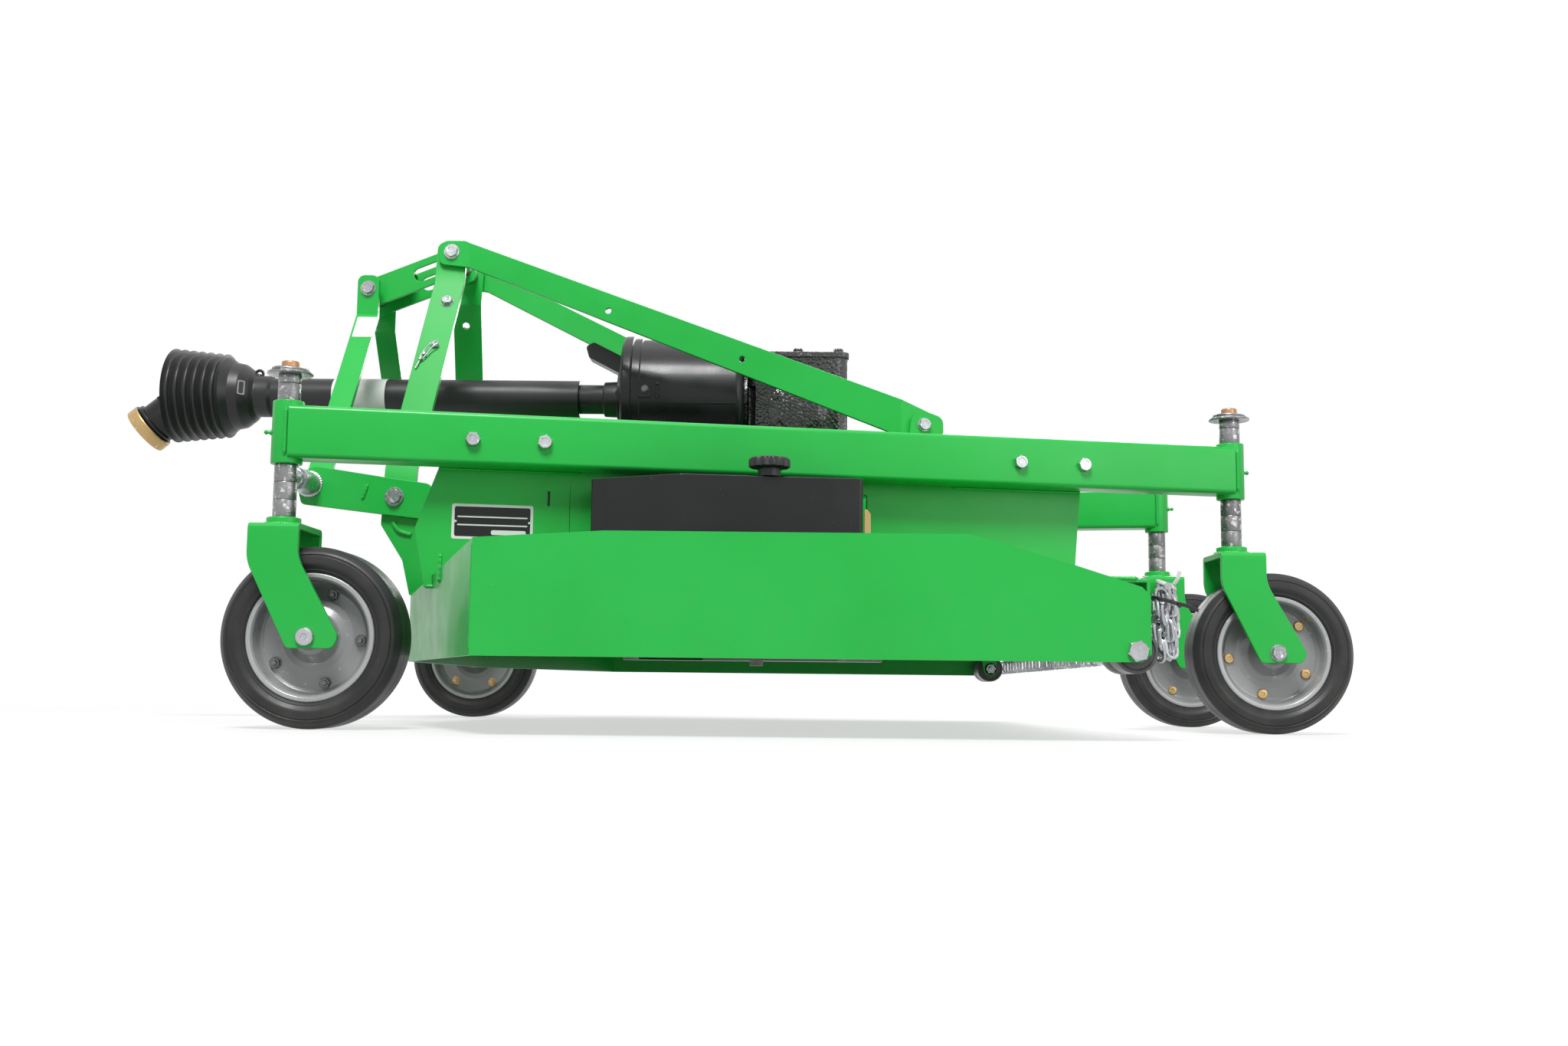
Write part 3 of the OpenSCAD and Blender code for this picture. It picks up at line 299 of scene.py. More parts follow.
class Palette:
    """Makes each finish's material on its first use."""

    def __init__(self) -> None:
        """Starts with no material made."""
        self.groups = NodeGroups()
        self.made: dict[Finish, bpy.types.Material] = {}

    @staticmethod
    def mix(tree: bpy.types.NodeTree, share: bpy.types.NodeSocket, first: Colour | bpy.types.NodeSocket,
            second: Colour) -> bpy.types.NodeSocket:
        """Blends two colours by a share.

        Args:
            tree: Tree that gets the node.
            share: 0 shows the first colour, 1 the second.
            first: Colour, or the socket it comes from.
            second: Colour laid over the first.

        Returns:
            The blended colour.
        """
        node = tree.nodes.new("ShaderNodeMix")
        node.data_type = "RGBA"
        tree.links.new(share, node.inputs[0])
        if isinstance(first, tuple):
            node.inputs[6].default_value = (*first, 1.0)
        else:
            tree.links.new(first, node.inputs[6])
        node.inputs[7].default_value = (*second, 1.0)
        return node.outputs[2]

    def material(self, finish: Finish) -> bpy.types.Material:
        """Material of one finish.

        Args:
            finish: The finish wanted.

        Returns:
            Its material, with blotches, specks, dust, grain and gloss from nodes.
        """
        if finish in self.made:
            return self.made[finish]
        coat: Coat = finish.value
        material = bpy.data.materials.new(finish.name.lower())
        material.use_nodes = True
        tree = material.node_tree
        shader = tree.nodes["Principled BSDF"]
        place = tree.nodes.new("ShaderNodeTexCoord").outputs["Object"]
        age = tree.nodes.new("ShaderNodeGroup")
        age.node_tree = self.groups.weathering()
        age.inputs["Speck Share"].default_value = coat.wear_share
        grain = tree.nodes.new("ShaderNodeGroup")
        grain.node_tree = self.groups.grain(coat.grain)
        grain.inputs["Scale"].default_value = coat.grain_scale
        tree.links.new(place, age.inputs["Vector"])
        tree.links.new(place, grain.inputs["Vector"])
        colour = self.mix(tree, age.outputs["Blotch"], coat.base, coat.shade)
        colour = self.mix(tree, age.outputs["Speck"], colour, coat.wear)
        if coat.dust:
            amount = tree.nodes.new("ShaderNodeMath")
            amount.operation = "MULTIPLY"
            amount.inputs[1].default_value = coat.dust
            tree.links.new(age.outputs["Dust"], amount.inputs[0])
            colour = self.mix(tree, amount.outputs[0], colour, DUST)
        tree.links.new(colour, shader.inputs["Base Color"])
        rough = tree.nodes.new("ShaderNodeMapRange")
        rough.inputs["To Min"].default_value, rough.inputs["To Max"].default_value = coat.rough
        tree.links.new(grain.outputs["Gloss"], rough.inputs["Value"])
        tree.links.new(rough.outputs["Result"], shader.inputs["Roughness"])
        bump = tree.nodes.new("ShaderNodeBump")
        bump.inputs["Distance"].default_value = coat.bump
        tree.links.new(grain.outputs["Height"], bump.inputs["Height"])
        tree.links.new(bump.outputs["Normal"], shader.inputs["Normal"])
        shader.inputs["Metallic"].default_value = coat.metallic
        shader.inputs["Specular IOR Level"].default_value = coat.gloss
        shader.inputs["Coat Weight"].default_value = coat.clear
        shader.inputs["Coat Roughness"].default_value = 0.08
        material.diffuse_color = (*coat.base, 1.0)
        self.made[finish] = material
        return material


@dataclass
class Shape:
    """Closed surface in millimetres, with x counted from the front caster stems.

    Attributes:
        points: One row of x, y and z for each point.
        faces: Point numbers of each face, counterclockwise seen from outside.
        finish: Place of its finish in the piece's list of finishes.
    """

    points: Array
    faces: list[tuple[int, ...]]
    finish: int = 0

    def mirrored(self, side: int) -> "Shape":
        """The shape itself for side 1, and its mirror image across y = 0 for side -1."""
        if side > 0:
            return self
        return Shape(self.points * (1, -1, 1), [face[::-1] for face in self.faces], self.finish)

    def moved(self, by: Sequence[float]) -> "Shape":
        """The shape shifted by a vector."""
        return Shape(self.points + np.asarray(by, float), self.faces, self.finish)

    def set_on(self, origin: Sequence[float], axis: Sequence[float], turn: float = 0.0) -> "Shape":
        """Lays the shape's own z along an axis.

        Args:
            origin: Where the shape's own origin goes.
            axis: Direction that its own z takes.
            turn: Degrees that it turns round that axis.

        Returns:
            The shape in its place.
        """
        axis = np.asarray(axis, float) / np.linalg.norm(axis)
        helper = X if abs(axis[0]) < 0.9 else Z
        side = np.cross(helper, axis)
        side /= np.linalg.norm(side)
        up = np.cross(axis, side)
        angle = math.radians(turn)
        first = side * math.cos(angle) + up * math.sin(angle)
        basis = np.array([first, np.cross(axis, first), axis])
        return Shape(self.points @ basis + np.asarray(origin, float), self.faces, self.finish)


def enclosed(points: Array, quads: Array, caps: Sequence[Array]) -> float:
    """Signed volume: the sum over triangles of first corner times the cross product of the others."""
    volume = 0.0
    for one, two, three in ((0, 1, 2), (0, 2, 3)):
        a, b, c = points[quads[:, one]], points[quads[:, two]], points[quads[:, three]]
        volume += float(np.einsum("ij,ij->", a, np.cross(b, c)))
    for cap in caps:
        corner = points[cap]
        volume += float(np.cross(corner, np.roll(corner, -1, 0)).sum(0) @ corner.mean(0))
    return volume


def skin(grid: Array, finish: int = 0, loop: bool = False) -> Shape:
    """Covers a grid of points whose columns close into rings.

    Args:
        grid: Points as rows by columns by 3.
        finish: Place of its finish in the piece's list.
        loop: Joins the last row to the first; otherwise both end rows get a flat cap.

    Returns:
        The closed shape, turned so that its signed volume is positive.
    """
    rows, columns = grid.shape[:2]
    number = np.arange(rows * columns).reshape(rows, columns)
    here = number if loop else number[:-1]
    after = np.roll(number, -1, 0) if loop else number[1:]
    quads = np.stack([here, np.roll(here, -1, 1), np.roll(after, -1, 1), after], -1).reshape(-1, 4)
    caps = [] if loop else [number[0][::-1], number[-1]]
    points = grid.reshape(-1, 3)
    faces = [tuple(face) for face in quads.tolist() + [cap.tolist() for cap in caps]]
    if enclosed(points, quads, caps) < 0:
        faces = [face[::-1] for face in faces]
    return Shape(points, faces, finish)


def turned(profile: Rows, count: int = 48, finish: int = 0, loop: bool = False) -> Shape:
    """Turns a profile round z: x = r cos a, y = r sin a, z = h.

    Args:
        profile: Rows of radius and height.
        count: Columns round the axis.
        finish: Place of its finish in the piece's list.
        loop: The profile closes on itself, as a ring's does.

    Returns:
        The turned shape.
    """
    rows = np.asarray(profile, float)
    return lobed(rows[:, :1] * np.ones(count), rows[:, 1], finish, loop)


def lobed(radii: Array, heights: Array, finish: int = 0, loop: bool = False) -> Shape:
    """Shape whose radius changes round the axis: x = r(a, h) cos a, y = r(a, h) sin a.

    Args:
        radii: Radius for each height and angle.
        heights: Height of each row.
        finish: Place of its finish in the piece's list.
        loop: The rows close on themselves.

    Returns:
        The shape round z.
    """
    angle = np.linspace(0, 2 * np.pi, radii.shape[1], endpoint=False)
    grid = np.stack([radii * np.cos(angle), radii * np.sin(angle),
                     np.broadcast_to(np.asarray(heights, float)[:, None], radii.shape)], -1)
    return skin(grid, finish, loop)


def circle(radius: float, count: int = 10) -> Array:
    """Section of a round wire."""
    angle = np.linspace(0, 2 * np.pi, count, endpoint=False)
    return radius * np.stack([np.cos(angle), np.sin(angle)], -1)


def carried(path: Array, section: Array, up: Sequence[float], finish: int = 0, loop: bool = False,
            scale: Array | float = 1.0) -> Shape:
    """Carries a section along a path: point = path + s * side + t * up, with side = tangent x up.

    Args:
        path: Points of the path.
        section: Rows of s and t.
        up: Direction that no part of the path follows.
        finish: Place of its finish in the piece's list.
        loop: The path closes on itself.
        scale: Size of the section at each point of the path.

    Returns:
        The tube or strip.
    """
    path = np.asarray(path, float)
    tangent = (np.roll(path, -1, 0) - np.roll(path, 1, 0)) if loop else np.gradient(path, axis=0)
    side = np.cross(tangent, np.asarray(up, float))
    side /= np.linalg.norm(side, axis=1, keepdims=True)
    top = np.cross(side, tangent)
    top /= np.linalg.norm(top, axis=1, keepdims=True)
    size = np.broadcast_to(np.asarray(scale, float), len(path))[:, None, None]
    grid = path[:, None] + size * (side[:, None] * section[None, :, :1] + top[:, None] * section[None, :, 1:])
    return skin(grid, finish, loop)


def rounded(rows: Rows, steps: int = 5) -> Array:
    """Outline whose corners are arcs.

    Args:
        rows: Corners as x, y and radius.
        steps: Chords in each arc.

    Returns:
        The outline's points.
    """
    corner = np.asarray(rows, float)
    q, r = corner[:, :2], corner[:, 2]
    back, on = np.roll(q, 1, 0) - q, np.roll(q, -1, 0) - q
    room = 0.48 * np.minimum(np.linalg.norm(back, axis=1), np.linalg.norm(on, axis=1))
    back /= np.linalg.norm(back, axis=1, keepdims=True)
    on /= np.linalg.norm(on, axis=1, keepdims=True)
    half = np.arccos(np.clip((back * on).sum(1), -1, 1)) / 2
    reach = np.minimum(r / np.tan(half), room)
    r = reach * np.tan(half)
    middle = back + on
    middle /= np.maximum(np.linalg.norm(middle, axis=1, keepdims=True), 1e-9)
    centre = q + middle * (r / np.sin(half))[:, None]
    share = np.linspace(0, 1, steps + 1)[None, :, None]
    ray = (q + back * reach[:, None] - centre)[:, None] * (1 - share) + (q + on * reach[:, None] - centre)[:, None] * share
    ray /= np.maximum(np.linalg.norm(ray, axis=2, keepdims=True), 1e-9)
    points = centre[:, None] + ray * r[:, None, None]
    return np.concatenate([points[i] if r[i] > 1e-6 else q[i:i + 1] for i in range(len(q))])


def slab(outline: Array, low: float, high: float, finish: int = 0) -> Shape:
    """Plate between two heights with that outline in x and y."""
    flat = np.asarray(outline, float)
    grid = np.stack([np.column_stack([flat, np.full(len(flat), h)]) for h in (low, high)])
    return skin(grid, finish)


def side_plate(outline: Array, y: float, thickness: float, finish: int = 0) -> Shape:
    """Plate with its outline in x and z, its middle at distance y."""
    flat = np.asarray(outline, float)
    grid = np.stack([np.column_stack([flat[:, 0], np.full(len(flat), y + s * thickness / 2), flat[:, 1]])
                     for s in (-1, 1)])
    return skin(grid, finish)


def smooth_path(points: Rows, steps: int = 8, loop: bool = False) -> Array:
    """Curve through points: each stretch is a cubic whose slope at a point is half the step between its neighbours.

    Args:
        points: Points that the curve passes.
        steps: Pieces between two points.
        loop: The curve closes on itself.

    Returns:
        Points along the curve.
    """
    p = np.asarray(points, float)
    before, after = np.roll(p, 1, 0), np.roll(p, -1, 0)
    if not loop:
        before[0], after[-1] = p[0], p[-1]
    slope = (after - before) / 2
    first, last = (p, np.roll(p, -1, 0)) if loop else (p[:-1], p[1:])
    s0, s1 = (slope, np.roll(slope, -1, 0)) if loop else (slope[:-1], slope[1:])
    t = np.linspace(0, 1, steps, endpoint=False)[None, :, None]
    curve = ((2 * t**3 - 3 * t**2 + 1) * first[:, None] + (t**3 - 2 * t**2 + t) * s0[:, None]
             + (3 * t**2 - 2 * t**3) * last[:, None] + (t**3 - t**2) * s1[:, None]).reshape(-1, 3)
    return curve if loop else np.concatenate([curve, p[-1:]])


def even(path: Array, step: float) -> tuple[Array, Array]:
    """Spreads points evenly along a path, and gives them with their distance from its start."""
    path = np.asarray(path, float)
    far = np.concatenate([[0.0], np.cumsum(np.linalg.norm(np.diff(path, axis=0), axis=1))])
    at = np.linspace(0, far[-1], max(3, int(far[-1] / step) + 1))
    return np.stack([np.interp(at, far, path[:, k]) for k in range(3)], -1), at


def weld(path: Rows, radius: float, up: Sequence[float], finish: int = 0, ripple: float = 4.0) -> Shape:
    """Weld bead: a tube whose radius is radius * (0.88 + 0.24 |sin(pi s / ripple)|), with s along the joint.

    Args:
        path: The joint's line.
        radius: Mean radius of the bead.
        up: Direction that the line never follows.
        finish: Place of its finish in the piece's list.
        ripple: Distance from one ripple to the next.

    Returns:
        The bead, thin at both ends.
    """
    points, at = even(np.asarray(path, float), 1.3)
    ends = np.clip(np.minimum(at, at[-1] - at) / (1.5 * radius), 0.25, 1.0)
    swell = ends * (0.88 + 0.24 * np.abs(np.sin(np.pi * at / ripple)) + 0.06 * np.sin(at / 7.3))
    return carried(points, circle(radius, 8), up, finish, scale=swell)


def ring_weld(centre: Sequence[float], axis: Sequence[float], around: float, radius: float, finish: int = 0) -> Shape:
    """Weld bead round a tube's foot, with a whole number of ripples."""
    angle = np.linspace(0, 2 * np.pi, 120, endpoint=False)
    path = around * np.stack([np.cos(angle), np.sin(angle), 0 * angle], -1)
    ripples = round(around * 2 * np.pi / 8)
    swell = 0.88 + 0.24 * np.abs(np.sin(ripples * angle))
    return carried(path, circle(radius, 8), Z, finish, True, swell).set_on(centre, axis)


def hexagon(flats: float, count: int = 36) -> Array:
    """Radius of a hexagon at each angle: half the flats over the cosine of the angle to the nearest flat."""
    angle = np.linspace(0, 360, count, endpoint=False)
    return flats / 2 / np.cos(np.radians((angle + 30) % 60 - 30))


@dataclass(frozen=True)
class HexBolt:
    """Hexagon bolt head, or a nut, with an optional washer.

    Attributes:
        flats: Width across the flats.
        head: Height of the head.
        washer: Radius of the washer, or 0 for none.
        washer_t: Thickness of the washer.
        stud: Length of thread that stands out of a nut, or 0 for a bolt head.
    """

    flats: float
    head: float
    washer: float = 0.0
    washer_t: float = 1.6
    stud: float = 0.0

    def shapes(self, origin: Sequence[float], axis: Sequence[float], finish: int = 0, turn: float = 0.0) -> list[Shape]:
        """Builds the head on its seat; the corners at its top are cut by a cone.

        Args:
            origin: Middle of the seat.
            axis: Direction in which the head stands out.
            finish: Place of its finish in the piece's list.
            turn: Degrees that the head is turned.

        Returns:
            Washer, head and thread.
        """
        made = []
        foot = 0.0
        if self.washer:
            made.append(turned([[self.washer, 0], [self.washer, self.washer_t - 0.4],
                                [self.washer - 0.4, self.washer_t]], 40, finish))
            foot = self.washer_t
        full = hexagon(self.flats)
        crown = np.minimum(full, self.flats / 2 * 0.96)
        top = foot + self.head
        dish = np.full(36, self.flats * 0.32)
        made.append(lobed(np.stack([full * 0.97, full, full, crown, dish, dish * 0.9]),
                          np.array([foot, foot + 0.4, top - self.flats * 0.07, top, top, top - 0.5]), finish))
        if self.stud:
            radius = self.flats * 0.29
            rows = [[radius - 0.5 * (k % 2), top - 1 + k * 0.7] for k in range(int((self.stud + 1) / 0.7))]
            made.append(turned(rows + [[radius * 0.8, top + self.stud]], 24, finish))
        return [shape.set_on(origin, axis, turn) for shape in made]


@dataclass(frozen=True)
class ButtonHead:
    """Low round head with a shallow dimple."""

    radius: float
    head: float

    def shapes(self, origin: Sequence[float], axis: Sequence[float], finish: int = 0) -> list[Shape]:
        """Builds the head on its seat, with a rim that rolls over and a dimple in its middle."""
        r, h = self.radius, self.head
        profile = [[r, 0], [r, h * 0.45], [r * 0.97, h * 0.7], [r * 0.88, h * 0.9], [r * 0.7, h],
                   [r * 0.36, h], [r * 0.28, h * 0.82], [r * 0.1, h * 0.8]]
        return [turned(profile, 40, finish).set_on(origin, axis)]


class Workshop:
    """Turns shapes into pieces that ride on the frame's bodies."""

    def __init__(self, frame_data: dict) -> None:
        """Keeps the frame and an empty palette."""
        self.nodes: dict[str, bpy.types.Object] = frame_data["nodes"]
        self.palette = Palette()

    def finish_mesh(self, piece: bpy.types.Object, finishes: Sequence[Finish], body: str,
                    replaces: Iterable[str], sharp: float) -> None:
        """Gives a piece its materials, smooth shading and body, and logs it."""
        for finish in finishes:
            piece.data.materials.append(self.palette.material(finish))
        piece.data.shade_smooth()
        piece.data.set_sharp_from_angle(angle=math.radians(sharp))
        bpy.context.scene.collection.objects.link(piece)
        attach(piece, body)
        names = list(replaces)
        if names:
            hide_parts(*names)
        log.info("%s: %d faces on %s", piece.name, len(piece.data.polygons), body)

    def add(self, name: str, shapes: Sequence[Shape], finishes: Sequence[Finish], body: str = "root",
            replaces: Iterable[str] = (), bevel: float = 0.0, sharp: float = 32.0) -> bpy.types.Object:
        """Joins shapes into one piece.

        Args:
            name: The piece's name.
            shapes: Closed shapes in millimetres.
            finishes: Finishes that the shapes number.
            body: Body that it rides on.
            replaces: CAD nodes that it stands for.
            bevel: Width of its rounded edges in millimetres, or 0.
            sharp: Angle in degrees above which an edge stays sharp.

        Returns:
            The piece's object.
        """
        points, faces = self.joined(shapes)
        mesh = bpy.data.meshes.new(name)
        mesh.from_pydata(points, [], faces)
        mesh.polygons.foreach_set("material_index",
                                  np.repeat([s.finish for s in shapes], [len(s.faces) for s in shapes]).astype(np.int32))
        piece = bpy.data.objects.new(name, mesh)
        self.finish_mesh(piece, finishes, body, replaces, sharp)
        if bevel:
            self.round_edges(piece, bevel)
        return piece

    @staticmethod
    def round_edges(piece: bpy.types.Object, width: float) -> None:
        """Rounds the piece's sharp edges by a width in millimetres."""
        rounding = piece.modifiers.new("rounded_edges", "BEVEL")
        rounding.width = width * MM
        rounding.segments = 2
        rounding.limit_method = "ANGLE"
        rounding.angle_limit = math.radians(38)
        rounding.use_clamp_overlap = False
        rounding.harden_normals = True

    @staticmethod
    def joined(shapes: Sequence[Shape]) -> tuple[Array, list[tuple[int, ...]]]:
        """Points in metres and faces of several shapes as one mesh."""
        starts = np.cumsum([0] + [len(shape.points) for shape in shapes])
        points = (np.concatenate([shape.points for shape in shapes]) + (STEM_X, 0, 0)) * MM
        return points, [tuple(k + int(n) for k in face) for shape, n in zip(shapes, starts) for face in shape.faces]

    def pierce(self, piece: bpy.types.Object, holes: Sequence[Shape]) -> None:
        """Cuts shapes out of a piece for good, with a helper object that is removed again."""
        points, faces = self.joined(holes)
        mesh = bpy.data.meshes.new("hole_cutter")
        mesh.from_pydata(points, [], faces)
        cutter = bpy.data.objects.new("hole_cutter", mesh)
        bpy.context.scene.collection.objects.link(cutter)
        cut = piece.modifiers.new("holes", "BOOLEAN")
        cut.operation, cut.solver, cut.object = "DIFFERENCE", "EXACT", cutter
        whole = piece.evaluated_get(bpy.context.evaluated_depsgraph_get())
        old = piece.data
        piece.data = bpy.data.meshes.new_from_object(whole)
        piece.modifiers.clear()
        piece.data.set_sharp_from_angle(angle=math.radians(32))
        bpy.data.meshes.remove(old)
        bpy.data.objects.remove(cutter)
        bpy.data.meshes.remove(mesh)

    def soften(self, node: str, body: str, finish: Finish, bevel: float = 1.0, other: Finish | None = None,
               where: Callable[[Array], Array] | None = None, holes: Sequence[Shape] = ()) -> bpy.types.Object:
        """Stands in for a CAD node with a copy whose triangles are merged and whose edges are rounded.

        Args:
            node: The CAD node.
            body: Body that it rides on.
            finish: Its finish.
            bevel: Width of the rounded edges in millimetres, or 0.
            other: Second finish, if it has one.
            where: From the faces' middles in millimetres, which of them take the second finish.
            holes: Shapes to cut out of it.

        Returns:
            The copy's object.
        """
        mesh = bpy.data.meshes.new(f"{node}_body")
        work = bmesh.new()
        work.from_mesh(self.nodes[node].data)
        bmesh.ops.remove_doubles(work, verts=work.verts, dist=0.00002)
        bmesh.ops.dissolve_limit(work, angle_limit=math.radians(0.5), verts=work.verts, edges=work.edges)
        work.to_mesh(mesh)
        work.free()
        if where is not None:
            centres = np.zeros(len(mesh.polygons) * 3)
            mesh.polygons.foreach_get("center", centres)
            chosen = where(centres.reshape(-1, 3) / MM - (STEM_X, 0, 0))
            mesh.polygons.foreach_set("material_index", chosen.astype(np.int32))
        piece = bpy.data.objects.new(f"{node}_body", mesh)
        self.finish_mesh(piece, [finish] + ([other] if other else []), body, [node], 32.0 if bevel else 1.0)
        if holes:
            self.pierce(piece, holes)
        if bevel:
            self.round_edges(piece, bevel)
        return piece

    def dress(self, node: str, finish: Finish) -> None:
        """Gives a CAD node that stays in view its finish."""
        mesh = self.nodes[node].data
        mesh.materials.clear()
        mesh.materials.append(self.palette.material(finish))
        log.info("%s: CAD node in %s", node, finish.name.lower())


SIDES = (("left", 1), ("right", -1))


@dataclass
class Chassis:
    """Sizes that the beams, casters and hitch share."""

    front_track: float = 1115
    rear_track: float = 512
    caster_span: float = 1430
    beam_w: float = 51
    beam_h: float = 76
    beam_z: float = 381
    bushing_z: float = 373.5
    bushing_h: float = 91
    bushing_r: float = 22
    stem_r: float = 12.7

    @property
    def beam_angle(self) -> float:
        """Angle of the beams to the direction of travel, in radians."""
        return math.atan2((self.front_track - self.rear_track) / 2, self.caster_span)

    @property
    def beam_len(self) -> float:
        """Length of a beam from stem to stem."""
        return math.hypot(self.caster_span, (self.front_track - self.rear_track) / 2)

    def along_beam(self, points: Array) -> Array:
        """Turns u to the rear along the left beam, v inward and z up into x, y and z."""
        c, s = math.cos(self.beam_angle), math.sin(self.beam_angle)
        u, v, z = np.asarray(points, float).reshape(-1, 3).T
        return np.stack([v * s - u * c, self.front_track / 2 - u * s - v * c, z], -1)

    def beam_direction(self, u: float, v: float) -> Array:
        """Direction with parts u to the rear along the beam and v inward."""
        c, s = math.cos(self.beam_angle), math.sin(self.beam_angle)
        return np.array([v * s - u * c, -u * s - v * c, 0.0])


@dataclass
class SideBeams:
    """The two square tubes with the bushings of the caster stems."""

    chassis: Chassis
    corner_r: float = 7
    lug_u: float = 952
    lug_z: float = 477
    lug_t: float = 8
    bolt_u: tuple[float, ...] = (259.8, 362.9, 1094.5, 1199.5)
    bolt_z: float = 417

    def tube(self) -> Shape:
        """Square tube: a rounded rectangle carried from one bushing to the other."""
        c = self.chassis
        w, low, high, r = c.beam_w / 2, c.beam_z, c.beam_z + c.beam_h, self.corner_r
        section = rounded([[-w, low, r], [w, low, r], [w, high, r], [-w, high, r]], 6)
        ends = [np.column_stack([np.full(len(section), u), section]) for u in (3, c.beam_len - 3)]
        return skin(np.stack([c.along_beam(end) for end in ends]))

    def bushing(self, u: float) -> list[Shape]:
        """Bushing with eased rims, its welds to the tube and its grease nipple."""
        c = self.chassis
        z, h, r, bore = c.bushing_z, c.bushing_h, c.bushing_r, c.stem_r + 0.4
        profile = rounded([[bore, z, 1], [r, z, 1.6], [r, z + h, 1.6], [bore, z + h, 1]], 3)
        at = c.along_beam([[u, 0, 0]])[0]
        made = [turned(profile, 56, 0, True).moved(at)]
        towards = 1 if u < 1 else -1
        w = c.beam_w / 2
        edge = u + towards * 3
        for v in (-w, w):
            line = [[edge - towards * 4, v * 0.93, z2] for z2 in (c.beam_z + 4, c.beam_z + c.beam_h - 4)]
            made.append(weld(c.along_beam(line), 2.4, X))
        for z2 in (c.beam_z + 1, c.beam_z + c.beam_h - 1):
            line = [[edge + towards * 8, v, z2] for v in np.linspace(-w + 5, w - 5, 6)]
            made.append(weld(c.along_beam(line), 2.4, Z))
        nipple = turned([[4, -2], [4, 2], [2.4, 2.6], [2.4, 5.5], [3.3, 6.5], [3.3, 8.4], [1.5, 10.4]], 20)
        out = c.beam_direction(-towards, 0)
        made.append(nipple.set_on(at + out * r + (0, 0, z + h * 0.5), out))
        return made

    def lug(self) -> Shape:
        """Lug on the beam's top that the brace bolts to."""
        top = self.chassis.beam_z + self.chassis.beam_h
        outline = rounded([[-24, top - 3, 0], [24, top - 3, 0], [20, self.lug_z + 20, 18], [-20, self.lug_z + 20, 18]])
        face = self.chassis.beam_w / 2
        grid = np.stack([np.column_stack([outline[:, 0] + self.lug_u, np.full(len(outline), v), outline[:, 1]])
                         for v in (face - self.lug_t, face)])
        return skin(self.chassis.along_beam(grid).reshape(grid.shape))

    def build(self, shop: Workshop) -> None:
        """Builds both beams and their bolts."""
        c = self.chassis
        outward = c.beam_direction(0, -1)
        top = c.beam_z + c.beam_h
        for name, side in SIDES:
            shapes = [self.tube(), *self.bushing(0), *self.bushing(c.beam_len), self.lug()]
            line = [[self.lug_u + d, c.beam_w / 2 - self.lug_t - 1, top] for d in (-23, 23)]
            shapes.append(weld(c.along_beam(line), 3.2, Z))
            shop.add(f"beam_{name}_body", [s.mirrored(side) for s in shapes], [Finish.GREEN],
                     replaces=[f"beam_{name}"])
            bolts: list[Shape] = []
            for k, u in enumerate(self.bolt_u):
                seat = c.along_beam([[u, -c.beam_w / 2, self.bolt_z]])[0]
                bolts += HexBolt(19, 9).shapes(seat, outward, 0, 17 * k)
            lug = c.along_beam([[self.lug_u, c.beam_w / 2 - self.lug_t, self.lug_z]])[0]
            bolts += HexBolt(17, 7, 10.5).shapes(lug, outward, 0, 10)
            inner = c.along_beam([[self.lug_u, c.beam_w / 2 + self.lug_t, self.lug_z]])[0]
            bolts += HexBolt(17, 8, 10.5, stud=5).shapes(inner, -outward)
            shop.add(f"beam_bolts_{name}", [s.mirrored(side) for s in bolts], [Finish.ZINC])


